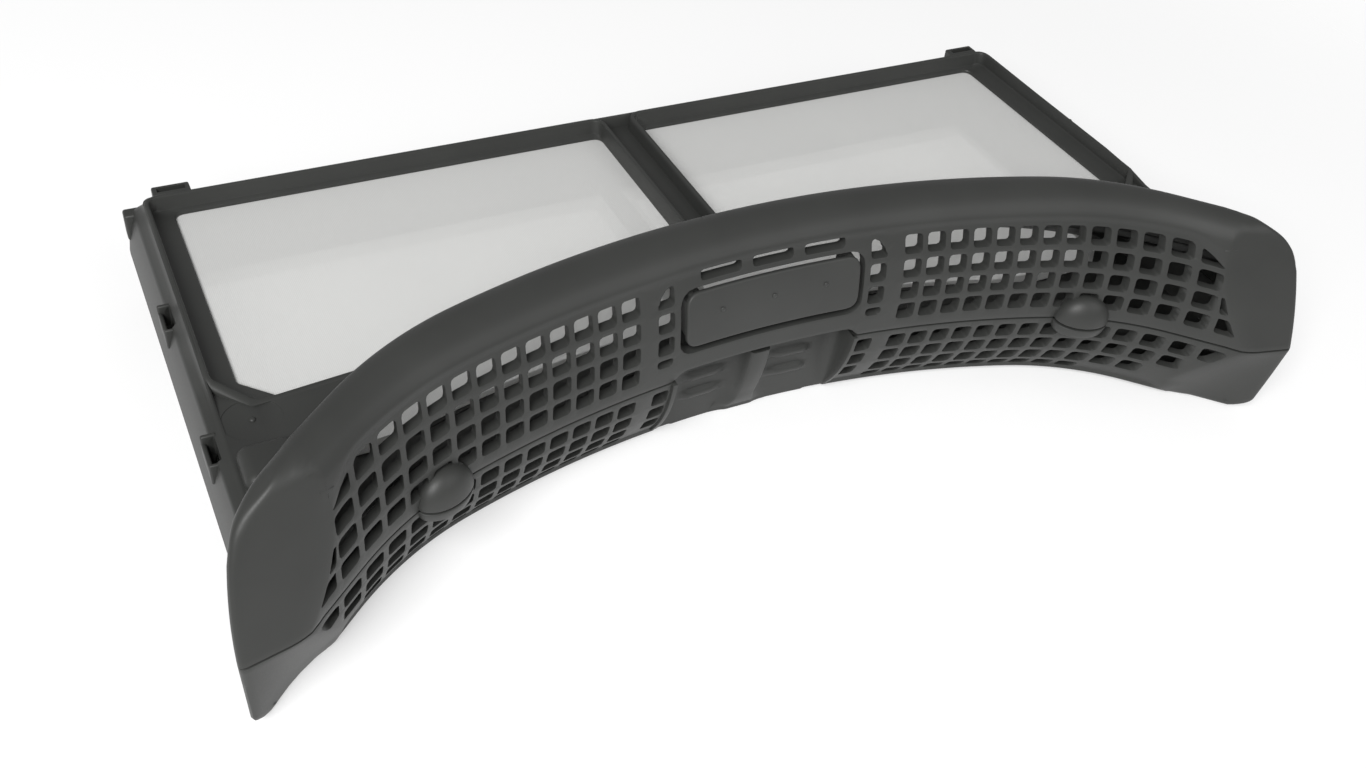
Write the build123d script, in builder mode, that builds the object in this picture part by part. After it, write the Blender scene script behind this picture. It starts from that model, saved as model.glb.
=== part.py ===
"""Tumble dryer lint filter: two hinged mesh leaves behind a curved, perforated head."""
import os
from math import asin, cos, degrees, radians, sin, sqrt, tan

from build123d import *

os.makedirs("parts", exist_ok=True)

# Head seen from above
HEAD_HALF = 201.2        # half width at the tips
TIP_REACH = 61.75        # the tips stand this far in front of the middle
BOW_RADIUS = 400.0       # middle of the bow
BOW_HALF = 114.0         # half width of the middle of the bow
SHOULDER_RADIUS = 129.0  # tighter curve towards the wings
WING_ANGLE = 39.5        # slope of the straight wings
PANEL_ANGLE = 11.5       # slope of the plain end panels
PANEL_LEAN = 23.5        # the upper end panels lean back
SIDE_ANGLE = 10.2        # the side walls run in towards the rear
SIDE_LEAN = 2.4          # and in, away from the seam
WING_RUN = 55.0          # length of the straight wings, past the tips

# Head in section
SEAM_Z = 37.5            # seam above the table
SEAM_GAP = 0.9
UPPER_BARREL = 96.0      # curve of the upper face
LOWER_BARREL = 66.0      # curve of the lower face
CREASE_RISE = 45.0       # top of the upper face above the seam
BAND_RISE = 49.3         # highest line of the band behind the crease
BAND_MID = 21.5          # its depth behind the face
BAND_END = 45.7          # rear edge of the band above the seam
HEAD_DEPTH = 31.8        # rear wall behind the face
FACE_DROP = 33.0         # bottom of the lower face below the seam
HEEL_DEPTH = 15.0        # start of the flat bottom behind the face
FACE_WALL = 3.0
COVER_WALL = 2.4
UPPER_REAR = 23.5        # lower edge of the upper rear wall
LOWER_REAR = 22.0        # upper edge of the lower rear wall
KNEE_X = 180.0           # bend of the lower end panels
KNEE_FOOT = 40.65        # reach of the bend at the bottom
KNEE_INNER = 165.0
KNEE_INNER_FOOT = 35.05

# Square holes of the head
HOLE = 7.0
HOLE_CORNER = 0.9
HOLE_PITCH = 9.0
HOLE_FIRST = 55.6
HOLE_COLUMNS = 14
UPPER_ROWS = (9.0, 18.0, 27.0, 36.0)
LOWER_ROWS = (-6.4, -15.4, -24.4)
LAST_ROW = -32.0         # short holes in the bottom edge
LAST_ROW_HEIGHT = 4.4
LAST_ROW_COLUMNS = 10
SIDE_COLUMN = 42.0       # narrow columns beside the window
SIDE_HOLE = 6.4
HOLE_REACH = 18.0        # holes end here behind the face

# Window, release plate and slots
PLATE_HALF = 34.3
PLATE_LOW = 14.8
PLATE_HIGH = 35.4
PLATE_CORNER = 4.5
PLATE_WALL = 2.4
WINDOW_SIDE = 2.2        # gap beside the plate
WINDOW_BELOW = 3.3       # gap below the plate
WINDOW_ABOVE = 1.0       # gap above the plate
SLOT_LENGTH = 16.0
SLOT_HEIGHT = 4.1
SLOT_PITCH = 20.4
SLOT_RISE = 40.1
PIVOT_DEPTH = 15.0
PIVOT_RISE = 34.0
TRUNNION = 2.0
TRUNNION_PLAY = 0.06
EAR_IN = 29.5            # inner face of the pivot ears
EAR_WALL = 2.5
WEB = 3.0                # webs between the plate and its trunnions
PIVOT_SIDE = 0.5

# Finger recess and thumb domes
RECESS_HALF = 36.5
RECESS_DEPTH = 12.0
RECESS_WALL = 2.0
RECESS_RIB = 6.4
RIB_SETBACK = 4.0
NOTCH_RISE = 4.2         # the upper face stops this far above the seam
NOTCH_CORNER = 4.0
GRIP_LINES = (-14.0, -24.0)
GRIP = 1.4
DOME_X = 127.4
DOME_HALF = 11.0
DOME_PROUD = 7.0
DOME_LIP = 4.5           # height of the lip under the dome

# Leaves
LEAF_TILT = 6.7
LEAF_RISE = 15.15        # mesh above the seam, at the face
PLATE = 2.0              # plate of a leaf
TRAY_WALL = 2.2
SPLIT_GAP = 0.6
FLANGE_HALF = 190.4
FLANGE_FAR = 144.3
SKIRT_HALF = 194.0
SKIRT_FAR = 143.0
TRAY_CORNER = 8.0
TRAY_NEAR = -75.0        # start of the tray, inside the head
BAY_IN = 7.6             # mesh bay beside the divider
BAY_OUT = 177.7
BAY_FAR = 136.4
BAY_NEAR = 23.5
BAY_BOW = 42.0           # near edge behind the face, in the middle
BAY_CUT = 11.5           # cut corner
BAY_CORNER = 4.0
SIDE_LEDGE = 7.8         # between the mesh and the side rim
FAR_LEDGE = 1.8
NEAR_LEDGE = 1.5
RIM_WALL = 2.0
UPPER_RIM = 8.0          # rim above the mesh
MESH = 0.6
MESH_LAP = 2.5           # mesh held under the plate
PLATEAU_IN = 108.0
PLATEAU_WALL = 2.2
GATE_X = 177.5
GATE_W = 11.0
GATE_RADIUS = 9.5
GATE_DEPTH = 0.4
NECK_WALL = 2.4
NECK_RISE = 32.0
NECK_DROP = 30.0
NECK_BEND = 22.4         # bottom of the upright part of the upper neck
NECK_FOOT = 38.4         # front of the sloping part, where it meets the leaf
NECK_FOOT_RISE = 11.0
REAR_PLAY = 0.4          # corner plateau behind the rear wall

# Hinge and side tongues
HINGE_W = 148.0
PIN = 2.2
PIN_PLAY = 0.08
EYE_WALL = 1.6
LOOP_RADIUS = 4.2
LOOP_IN = 169.8
LOOP_OUT = 183.3
LOOP_WALL = 2.5
LOOP_FAR = 144.2
EYE_SIDE = 0.4
TONGUE_X = 190.6
TONGUE_WALL = 2.4
TONGUE_WIDTH = 9.0
TONGUE_PLACES = (5.5, 74.0)
TONGUE_TOP = -2.0        # top of a tongue against the upper mesh
TONGUE_PLAY = 2.6        # at the ends of a tongue
POCKET_PLAY = 0.7        # behind a tongue

# Values that follow from the ones above
tilt = radians(LEAF_TILT)
split_drop = LEAF_RISE * cos(tilt)
split_side = split_drop - SPLIT_GAP / 2
hinge_radius = LOOP_RADIUS
hinge_reach = HINGE_W * cos(tilt) - split_drop * sin(tilt)
FACE_Y = (TIP_REACH - hinge_reach - hinge_radius) / 2
rim_far = BAY_FAR + FAR_LEDGE + RIM_WALL
lower_rim = (SEAM_Z - (rim_far - LEAF_RISE * sin(tilt)) * sin(tilt)) / cos(tilt) - split_drop
neck_back = HEAD_DEPTH - COVER_WALL
neck_front = neck_back - NECK_WALL
half_gap = SEAM_GAP / 2


def barrel(radius, height, wall=0.0):
    """Depth of a barrelled face at a height from the seam."""
    return radius - sqrt((radius - wall) ** 2 - height ** 2)


def bow(x):
    """Depth of the bow at a distance from the middle."""
    x = abs(x)
    turn = asin(BOW_HALF / BOW_RADIUS)
    if x <= BOW_HALF:
        return sqrt(BOW_RADIUS ** 2 - x ** 2) - BOW_RADIUS
    rest = BOW_RADIUS * (cos(turn) - 1)
    end = SHOULDER_RADIUS * (sin(radians(WING_ANGLE)) - sin(turn)) + BOW_HALF
    here = asin(sin(turn) + (min(x, end) - BOW_HALF) / SHOULDER_RADIUS)
    rest += SHOULDER_RADIUS * (cos(here) - cos(turn))
    return rest - max(x - end, 0) * tan(radians(WING_ANGLE))


def bow_slope(x):
    """Slope of the bow in degrees at a distance from the middle."""
    return degrees(asin(BOW_HALF / BOW_RADIUS + (x - BOW_HALF) / SHOULDER_RADIUS))


SEAM = Plane(origin=(0, FACE_Y, SEAM_Z))
SECTION = Plane(origin=(0, FACE_Y, SEAM_Z), x_dir=(0, 1, 0), z_dir=(1, 0, 0))
FRONT = Plane(origin=(0, FACE_Y, SEAM_Z), x_dir=(1, 0, 0), z_dir=(0, -1, 0))
leaf_up = Vector(0, sin(tilt), cos(tilt))
LEAF = Plane(origin=(0, FACE_Y, SEAM_Z + LEAF_RISE), x_dir=(1, 0, 0), z_dir=leaf_up)
low_start = Vector(0, FACE_Y, SEAM_Z + LEAF_RISE) - leaf_up * (2 * split_drop)
LOW_LEAF = Plane(origin=low_start, x_dir=(-1, 0, 0), z_dir=leaf_up * -1)
EDGE = Plane(origin=(0, FACE_Y, SEAM_Z + LEAF_RISE), x_dir=LEAF.y_dir, z_dir=(1, 0, 0))

# The bow from the middle out past one tip
with BuildLine(SEAM) as bow_line:
    first_turn = degrees(asin(BOW_HALF / BOW_RADIUS))
    CenterArc((0, -BOW_RADIUS), BOW_RADIUS, 90, -first_turn)
    step = BOW_RADIUS - SHOULDER_RADIUS
    centre = (step * sin(radians(first_turn)), step * cos(radians(first_turn)) - BOW_RADIUS)
    CenterArc(centre, SHOULDER_RADIUS, 90 - first_turn, first_turn - WING_ANGLE)
    wing_x = SHOULDER_RADIUS * sin(radians(WING_ANGLE)) + centre[0]
    wing_y = SHOULDER_RADIUS * cos(radians(WING_ANGLE)) + centre[1]
    Line((wing_x, wing_y), (wing_x + WING_RUN, wing_y - WING_RUN * tan(radians(WING_ANGLE))))
BOW = bow_line.wire()

# Planes that close the ends of the head
tip = Vector(HEAD_HALF, FACE_Y - TIP_REACH, SEAM_Z)
lean = radians(PANEL_LEAN)
slope = radians(PANEL_ANGLE)
panel_out = Vector(-sin(slope) * cos(lean), -cos(slope) * cos(lean), cos(slope) * sin(lean))
side_in = tan(radians(SIDE_ANGLE))
upper_side_out = Vector(1, side_in, tan(radians(SIDE_LEAN))).normalized()
lower_side_out = Vector(1, side_in, -tan(radians(SIDE_LEAN))).normalized()


def half_head(profile, planes):
    """Carry a section along one half of the bow and trim it."""
    with BuildPart() as body:
        add(profile)
        sweep(path=BOW, normal=(1, 0, 0))
        for plane in planes:
            split(bisect_by=plane, keep=Keep.BOTTOM)
    return body.part


def zone(front, back, low, high):
    """Space between two depths behind the face, over the whole bow."""
    with BuildSketch(SECTION) as profile:
        with Locations(((front + back) / 2, (low + high) / 2)):
            Rectangle(back - front, high - low)
    with BuildPart() as body:
        add(half_head(profile.sketch, []))
        mirror(about=Plane.YZ)
    return body.part


def lower_end(shift):
    """Space in front of the lower end panel."""
    tip_top = -TIP_REACH + shift
    run = tan(radians(PANEL_ANGLE))
    knee_top = tip_top + (HEAD_HALF - KNEE_X) * run
    inner_top = tip_top + (HEAD_HALF - KNEE_INNER) * run
    out = HEAD_HALF + 20
    knee_run = (TIP_REACH - KNEE_FOOT) / (HEAD_HALF - KNEE_X)
    with BuildSketch(SEAM) as upper:
        Polygon((KNEE_INNER - 20, inner_top + 20 * run), (KNEE_X, knee_top),
                (out, tip_top - 20 * run), (out, -130), (KNEE_INNER - 20, -130), align=None)
    inner_run = (KNEE_FOOT - KNEE_INNER_FOOT) / (KNEE_X - KNEE_INNER)
    with BuildSketch(SEAM.offset(-SEAM_Z - 1)) as lower:
        Polygon((KNEE_INNER - 20, shift - KNEE_INNER_FOOT + 20 * inner_run), (KNEE_X, shift - KNEE_FOOT),
                (out, tip_top - 20 * knee_run), (out, -130), (KNEE_INNER - 20, -130), align=None)
    with BuildPart() as body:
        loft([upper.sketch, lower.sketch], ruled=True)
    return body.part


def hole_tool(rows, edge, extra):
    """Straight holes through a face, in columns that follow the bow."""
    with BuildPart() as body:
        for index in range(HOLE_COLUMNS):
            x = HOLE_FIRST + index * HOLE_PITCH
            places = [(x, row) for row in rows]
            with BuildSketch(FRONT.offset(-bow(x) - HOLE_REACH)) as column:
                with Locations(*places):
                    RectangleRounded(HOLE, HOLE, HOLE_CORNER)
                if extra and index < LAST_ROW_COLUMNS:
                    with Locations((x, LAST_ROW)):
                        RectangleRounded(HOLE, LAST_ROW_HEIGHT, HOLE_CORNER)
                with BuildLine():
                    ThreePointArc(edge[0], edge[1], edge[2])
                    Polyline(edge[2], (0, edge[2][1]), (0, edge[0][1]), edge[0])
                make_face(mode=Mode.INTERSECT)
            extrude(amount=2 * HOLE_REACH)
        for row in rows:
            with BuildSketch(FRONT.offset(-bow(SIDE_COLUMN) - HOLE_REACH)):
                with Locations((SIDE_COLUMN, row)):
                    RectangleRounded(SIDE_HOLE, HOLE, HOLE_CORNER)
            extrude(amount=2 * HOLE_REACH)
        mirror(about=Plane.YZ)
    return body.part


def domes(low, high):
    """Thumb domes on the seam, kept between two heights."""
    turn = radians(bow_slope(DOME_X))
    start = (DOME_X, FACE_Y + bow(DOME_X), SEAM_Z)
    flat = Plane(origin=start, x_dir=(cos(turn), -sin(turn), 0), z_dir=(0, 0, 1))
    with BuildPart() as body:
        with BuildSketch(flat):
            Ellipse(DOME_HALF, DOME_PROUD)
            with Locations((DOME_HALF / 2, -DOME_PROUD / 2 + FACE_WALL / 4)):
                Rectangle(DOME_HALF, DOME_PROUD + FACE_WALL / 2, mode=Mode.INTERSECT)
        revolve(axis=Axis(start, (sin(turn), cos(turn), 0)))
        split(bisect_by=SEAM.offset(low), keep=Keep.TOP)
        split(bisect_by=SEAM.offset(high), keep=Keep.BOTTOM)
        mirror(about=Plane.YZ)
    return body.part


def bay(grow_in, grow_out, grow_far, grow_near):
    """Outline of one mesh bay, with its near edge along the bow."""
    x_in = BAY_IN - grow_in
    x_out = BAY_OUT + grow_out
    far = BAY_FAR + grow_far
    near = BAY_NEAR - grow_near
    depth = BAY_BOW - grow_near
    turn_x = sqrt(BOW_RADIUS ** 2 - (BOW_RADIUS + near * cos(tilt) - depth) ** 2)
    mid_x = (turn_x + x_in) / 2
    with BuildSketch() as outline:
        with BuildLine():
            Polyline((x_in, (bow(x_in) + depth) / cos(tilt)), (x_in, far), (x_out, far),
                     (x_out, near + BAY_CUT), (x_out - BAY_CUT, near), (turn_x, near))
            ThreePointArc((turn_x, near), (mid_x, (bow(mid_x) + depth) / cos(tilt)),
                          (x_in, (bow(x_in) + depth) / cos(tilt)))
        make_face()
        corners = outline.vertices().sort_by(Axis.Y)[-2:]
        fillet(corners, BAY_CORNER)
    return outline.sketch


behind_rear = zone(-150, HEAD_DEPTH + REAR_PLAY, -90, 90)
ahead_of_neck = zone(-150, neck_front, -90, 90)
behind_pocket = zone(-150, HEAD_DEPTH + REAR_PLAY + PLATEAU_WALL, -90, 90)


def leaf_tray(leaf, rim, neck_profile, mouth):
    """Tray of one leaf: drafted skirt, plate, bays, rims, corner plateaus and neck."""
    with BuildPart() as works:
        with BuildSketch(leaf.offset(PLATE - 0.5)):
            add(bay(RIM_WALL, SIDE_LEDGE + RIM_WALL, FAR_LEDGE + RIM_WALL, NEAR_LEDGE + RIM_WALL))
            side = BAY_OUT + SIDE_LEDGE + RIM_WALL
            with Locations(((side + PLATEAU_IN) / 2, (BAY_NEAR + BAY_CUT + TRAY_NEAR) / 2)):
                Rectangle(side - PLATEAU_IN, BAY_NEAR + BAY_CUT - TRAY_NEAR)
            add(bay(0, SIDE_LEDGE, FAR_LEDGE, NEAR_LEDGE), mode=Mode.SUBTRACT)
        extrude(amount=rim - PLATE + 0.5)
        with BuildSketch(leaf.offset(rim)):
            with Locations((GATE_X, GATE_W)):
                Circle(GATE_RADIUS)
        extrude(amount=-GATE_DEPTH, mode=Mode.SUBTRACT)
        mirror(about=Plane.YZ)
        add(behind_rear, mode=Mode.SUBTRACT)
    with BuildPart() as hollow:
        with BuildSketch(leaf.offset(-1)):
            inner = BAY_OUT + SIDE_LEDGE + RIM_WALL - PLATEAU_WALL
            near = BAY_NEAR - NEAR_LEDGE - RIM_WALL - PLATEAU_WALL / 2
            with Locations(((inner + PLATEAU_IN) / 2, (near + TRAY_NEAR) / 2)):
                Rectangle(inner - PLATEAU_IN, near - TRAY_NEAR)
        extrude(amount=rim - PLATEAU_WALL + 1)
        mirror(about=Plane.YZ)
        add(behind_pocket, mode=Mode.SUBTRACT)
    with BuildPart() as neck:
        add(half_head(neck_profile, []))
        split(bisect_by=leaf, keep=Keep.TOP)
        split(bisect_by=Plane.YZ.offset(FLANGE_HALF - TRAY_WALL), keep=Keep.BOTTOM)
        mirror(about=Plane.YZ)
    with BuildPart() as tray:
        with BuildSketch(leaf.offset(PLATE)):
            with Locations((0, (FLANGE_FAR + TRAY_NEAR) / 2)):
                RectangleRounded(2 * FLANGE_HALF, FLANGE_FAR - TRAY_NEAR, TRAY_CORNER)
        with BuildSketch(leaf.offset(-split_side)):
            with Locations((0, (SKIRT_FAR + TRAY_NEAR) / 2)):
                RectangleRounded(2 * SKIRT_HALF, SKIRT_FAR - TRAY_NEAR, TRAY_CORNER)
        loft()
        with BuildSketch(leaf):
            with Locations((0, (FLANGE_FAR + TRAY_NEAR) / 2)):
                RectangleRounded(2 * (FLANGE_HALF - TRAY_WALL), FLANGE_FAR - TRAY_NEAR - 2 * TRAY_WALL,
                                 TRAY_CORNER - TRAY_WALL)
        with BuildSketch(leaf.offset(-split_side)):
            with Locations((0, (SKIRT_FAR + TRAY_NEAR) / 2)):
                RectangleRounded(2 * (SKIRT_HALF - TRAY_WALL), SKIRT_FAR - TRAY_NEAR - 2 * TRAY_WALL,
                                 TRAY_CORNER - TRAY_WALL)
        loft(mode=Mode.SUBTRACT)
        add(ahead_of_neck, mode=Mode.SUBTRACT)
        add(mouth, mode=Mode.SUBTRACT)
        add(works.part)
        add(neck.part)
        with BuildSketch(leaf.offset(-1)):
            add(bay(0, 0, 0, 0))
            mirror(about=Plane.YZ)
        extrude(amount=PLATE + 2, mode=Mode.SUBTRACT)
        add(hollow.part, mode=Mode.SUBTRACT)
    return tray.part


def mesh_panel(leaf, name, other):
    """One mesh panel, held against the inner side of the plate."""
    with BuildPart() as panel:
        with BuildSketch(leaf):
            add(bay(MESH_LAP, MESH_LAP, MESH_LAP, MESH_LAP))
            if other:
                mirror(about=Plane.YZ, mode=Mode.REPLACE)
        extrude(amount=-MESH)
    panel.part.label = name
    export_step(panel.part, "parts/" + name + ".step")
    return panel.part


# Upper half of the head
with BuildSketch(SECTION) as upper_outer:
    with BuildLine():
        upper_foot = (barrel(UPPER_BARREL, half_gap), half_gap)
        crease = (barrel(UPPER_BARREL, CREASE_RISE), CREASE_RISE)
        RadiusArc(upper_foot, crease, UPPER_BARREL)
        ThreePointArc(crease, (BAND_MID, BAND_RISE), (HEAD_DEPTH, BAND_END))
        Polyline((HEAD_DEPTH, BAND_END), (HEAD_DEPTH, half_gap), upper_foot)
    make_face()
with BuildSketch(SECTION) as upper_inner:
    with BuildLine():
        inner_foot = (barrel(UPPER_BARREL, 0, FACE_WALL), -1.0)
        inner_rise = CREASE_RISE - COVER_WALL
        inner_crease = (barrel(UPPER_BARREL, inner_rise, FACE_WALL), inner_rise)
        inner_zero = (barrel(UPPER_BARREL, 0, FACE_WALL), 0.0)
        Line(inner_foot, inner_zero)
        RadiusArc(inner_zero, inner_crease, UPPER_BARREL - FACE_WALL)
        ThreePointArc(inner_crease, (BAND_MID, BAND_RISE - COVER_WALL), (neck_back, BAND_END - COVER_WALL))
        Polyline((neck_back, BAND_END - COVER_WALL), (neck_back, UPPER_REAR), (HEAD_DEPTH + 5, UPPER_REAR),
                 (HEAD_DEPTH + 5, -1.0), inner_foot)
    make_face()
panel = Plane(origin=tip, z_dir=panel_out)
panel_in = Plane(origin=tip - panel_out * FACE_WALL, z_dir=panel_out)
upper_side = Plane(origin=tip, z_dir=upper_side_out)
upper_side_in = Plane(origin=tip - upper_side_out * COVER_WALL, z_dir=upper_side_out)
upper_shell = half_head(upper_outer.sketch, [panel, upper_side])
upper_space = half_head(upper_inner.sketch, [panel_in, upper_side_in])
upper_edge = ((159.0, 41.0), (168.5, 27.0), (174.6, 3.0))
upper_holes = hole_tool(UPPER_ROWS, upper_edge, False)
upper_domes = domes(half_gap, CREASE_RISE)
with BuildPart() as ears:
    with BuildSketch(SECTION.offset(EAR_IN)):
        with BuildSketch(SECTION.offset(EAR_IN), mode=Mode.PRIVATE) as ear_shape:
            with Locations((PIVOT_DEPTH, PIVOT_RISE)):
                Circle(2 * TRUNNION)
            with Locations((PIVOT_DEPTH - 1.0, PIVOT_RISE + 7.0)):
                Rectangle(4.0, 5.0)
        make_hull(ear_shape.edges())
        with Locations((PIVOT_DEPTH, PIVOT_RISE)):
            Circle(TRUNNION + TRUNNION_PLAY, mode=Mode.SUBTRACT)
    extrude(amount=EAR_WALL)
    mirror(about=Plane.YZ)
with BuildPart() as upper_grille:
    add(upper_shell)
    add(upper_space, mode=Mode.SUBTRACT)
    mirror(about=Plane.YZ)
    add(upper_holes, mode=Mode.SUBTRACT)
    add(upper_domes)
    with BuildSketch(FRONT.offset(-HOLE_REACH)):
        with Locations((0, (PLATE_LOW - WINDOW_BELOW + PLATE_HIGH + WINDOW_ABOVE) / 2)):
            RectangleRounded(2 * (PLATE_HALF + WINDOW_SIDE),
                             PLATE_HIGH - PLATE_LOW + WINDOW_BELOW + WINDOW_ABOVE, PLATE_CORNER + 1)
        with Locations((-SLOT_PITCH, SLOT_RISE), (0, SLOT_RISE), (SLOT_PITCH, SLOT_RISE)):
            RectangleRounded(SLOT_LENGTH, SLOT_HEIGHT, 1.0)
        RectangleRounded(2 * RECESS_HALF, 2 * NOTCH_RISE, NOTCH_CORNER)
    extrude(amount=2 * HOLE_REACH, mode=Mode.SUBTRACT)
    add(ears.part)
upper_grille.part.label = "upper_grille"
export_step(upper_grille.part, "parts/upper_grille.step")

# Release plate with its webs and trunnions
with BuildSketch(SECTION) as plate_profile:
    with BuildLine():
        low = PLATE_LOW - 2
        high = PLATE_HIGH + 2
        RadiusArc((barrel(UPPER_BARREL, low), low), (barrel(UPPER_BARREL, high), high), UPPER_BARREL)
        Line((barrel(UPPER_BARREL, high), high), (barrel(UPPER_BARREL, high, PLATE_WALL), high))
        RadiusArc((barrel(UPPER_BARREL, high, PLATE_WALL), high), (barrel(UPPER_BARREL, low, PLATE_WALL), low),
                  PLATE_WALL - UPPER_BARREL)
        Line((barrel(UPPER_BARREL, low, PLATE_WALL), low), (barrel(UPPER_BARREL, low), low))
    make_face()
plate_slab = half_head(plate_profile.sketch, [])
with BuildPart() as plate_outline:
    with BuildSketch(FRONT.offset(-HOLE_REACH)):
        with Locations((0, (PLATE_LOW + PLATE_HIGH) / 2)):
            RectangleRounded(2 * PLATE_HALF, PLATE_HIGH - PLATE_LOW, PLATE_CORNER)
    extrude(amount=2 * HOLE_REACH)
with BuildPart() as webs:
    with BuildSketch(SECTION.offset(EAR_IN - PIVOT_SIDE - WEB)):
        with BuildSketch(SECTION.offset(EAR_IN - PIVOT_SIDE - WEB), mode=Mode.PRIVATE) as web_shape:
            with Locations((PIVOT_DEPTH, PIVOT_RISE)):
                Circle(TRUNNION + 1)
            with Locations((barrel(UPPER_BARREL, PLATE_HIGH - 8) + PLATE_WALL, PLATE_HIGH - 7)):
                Rectangle(2.0, 8.0)
        make_hull(web_shape.edges())
    extrude(amount=WEB)
    with BuildSketch(SECTION.offset(EAR_IN - PIVOT_SIDE - WEB / 2)):
        with Locations((PIVOT_DEPTH, PIVOT_RISE)):
            Circle(TRUNNION)
    extrude(amount=WEB / 2 + PIVOT_SIDE + EAR_WALL)
    mirror(about=Plane.YZ)
with BuildPart() as release_button:
    add(plate_slab)
    mirror(about=Plane.YZ)
    add(plate_outline.part, mode=Mode.INTERSECT)
    add(webs.part)
release_button.part.label = "release_button"
export_step(release_button.part, "parts/release_button.step")

# Lower half of the head
with BuildSketch(SECTION) as lower_outer:
    with BuildLine():
        lower_top = (barrel(LOWER_BARREL, half_gap), -half_gap)
        heel = (barrel(LOWER_BARREL, FACE_DROP), -FACE_DROP)
        sole = (HEEL_DEPTH, -SEAM_Z)
        RadiusArc(lower_top, heel, -LOWER_BARREL)
        ThreePointArc(heel, (heel[0] * 0.6 + sole[0] * 0.4, heel[1] * 0.25 + sole[1] * 0.75), sole)
        Polyline(sole, (HEAD_DEPTH, -SEAM_Z), (HEAD_DEPTH, -half_gap), lower_top)
    make_face()
with BuildSketch(SECTION) as lower_inner:
    with BuildLine():
        low_foot = (barrel(LOWER_BARREL, 0, FACE_WALL), 1.0)
        low_zero = (barrel(LOWER_BARREL, 0, FACE_WALL), 0.0)
        low_drop = FACE_DROP - COVER_WALL
        low_heel = (barrel(LOWER_BARREL, low_drop, FACE_WALL), -low_drop)
        floor = COVER_WALL - SEAM_Z
        Line(low_foot, low_zero)
        RadiusArc(low_zero, low_heel, FACE_WALL - LOWER_BARREL)
        Polyline(low_heel, (HEEL_DEPTH + 1.5, floor), (neck_back, floor), (neck_back, -LOWER_REAR),
                 (HEAD_DEPTH + 5, -LOWER_REAR), (HEAD_DEPTH + 5, 1.0), low_foot)
    make_face()
lower_side = Plane(origin=tip, z_dir=lower_side_out)
lower_side_in = Plane(origin=tip - lower_side_out * COVER_WALL, z_dir=lower_side_out)
lower_solid = half_head(lower_outer.sketch, [lower_side])
lower_space = half_head(lower_inner.sketch, [lower_side_in])
end_cut = lower_end(0)
end_space = lower_end(FACE_WALL * 1.15)
lower_edge = ((176.0, -1.0), (173.5, -18.0), (165.0, -37.6))
lower_holes = hole_tool(LOWER_ROWS, lower_edge, True)
lower_domes = domes(-DOME_LIP, -half_gap)
with BuildPart() as lower_cavity:
    add(lower_space)
    add(end_space, mode=Mode.SUBTRACT)
with BuildSketch(SECTION) as housing_profile:
    add(lower_outer.sketch_local)
    with Locations(((RECESS_DEPTH + RECESS_WALL) / 2 - 5, -SEAM_Z / 2)):
        Rectangle(RECESS_DEPTH + RECESS_WALL + 10, SEAM_Z, mode=Mode.INTERSECT)
housing_half = half_head(housing_profile.sketch, [Plane.YZ.offset(RECESS_HALF + RECESS_WALL)])
with BuildSketch(SECTION) as rib_profile:
    with Locations((RIB_SETBACK, 0)):
        add(lower_outer.sketch_local)
    with Locations(((RECESS_DEPTH + RECESS_WALL / 2) / 2, -SEAM_Z / 2)):
        Rectangle(RECESS_DEPTH + RECESS_WALL / 2, SEAM_Z, mode=Mode.INTERSECT)
rib_half = half_head(rib_profile.sketch, [Plane.YZ.offset(RECESS_RIB / 2)])
with BuildSketch(SECTION) as room_profile:
    with Locations((RECESS_DEPTH / 2 - 20, 0)):
        Rectangle(RECESS_DEPTH + 40, 3 * SEAM_Z)
room_half = half_head(room_profile.sketch, [Plane.YZ.offset(RECESS_HALF)])
with BuildSketch(SECTION) as grip_profile:
    for line in GRIP_LINES:
        with Locations((RECESS_DEPTH, line)):
            Rectangle(2 * GRIP, 2.0)
grip_half = half_head(grip_profile.sketch, [Plane.YZ.offset(RECESS_HALF + 0.5)])
with BuildPart() as lower_grille:
    add(lower_solid)
    add(end_cut, mode=Mode.SUBTRACT)
    add(lower_cavity.part, mode=Mode.SUBTRACT)
    add(housing_half)
    add(room_half, mode=Mode.SUBTRACT)
    add(rib_half)
    add(grip_half)
    mirror(about=Plane.YZ)
    add(lower_holes, mode=Mode.SUBTRACT)
    add(lower_domes)
joint_x = RECESS_HALF + RECESS_WALL
with BuildPart() as right_wing:
    add(lower_grille.part)
    split(bisect_by=Plane.YZ.offset(joint_x), keep=Keep.TOP)
right_wing.part.label = "lower_grille_right"
export_step(right_wing.part, "parts/lower_grille_right.step")
with BuildPart() as left_wing:
    add(right_wing.part)
    mirror(about=Plane.YZ, mode=Mode.REPLACE)
left_wing.part.label = "lower_grille_left"
export_step(left_wing.part, "parts/lower_grille_left.step")
with BuildPart() as recess:
    add(lower_grille.part)
    split(bisect_by=Plane.YZ.offset(joint_x), keep=Keep.BOTTOM)
    split(bisect_by=Plane.YZ.offset(-joint_x), keep=Keep.TOP)
recess.part.label = "finger_recess"
export_step(recess.part, "parts/finger_recess.step")

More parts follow.
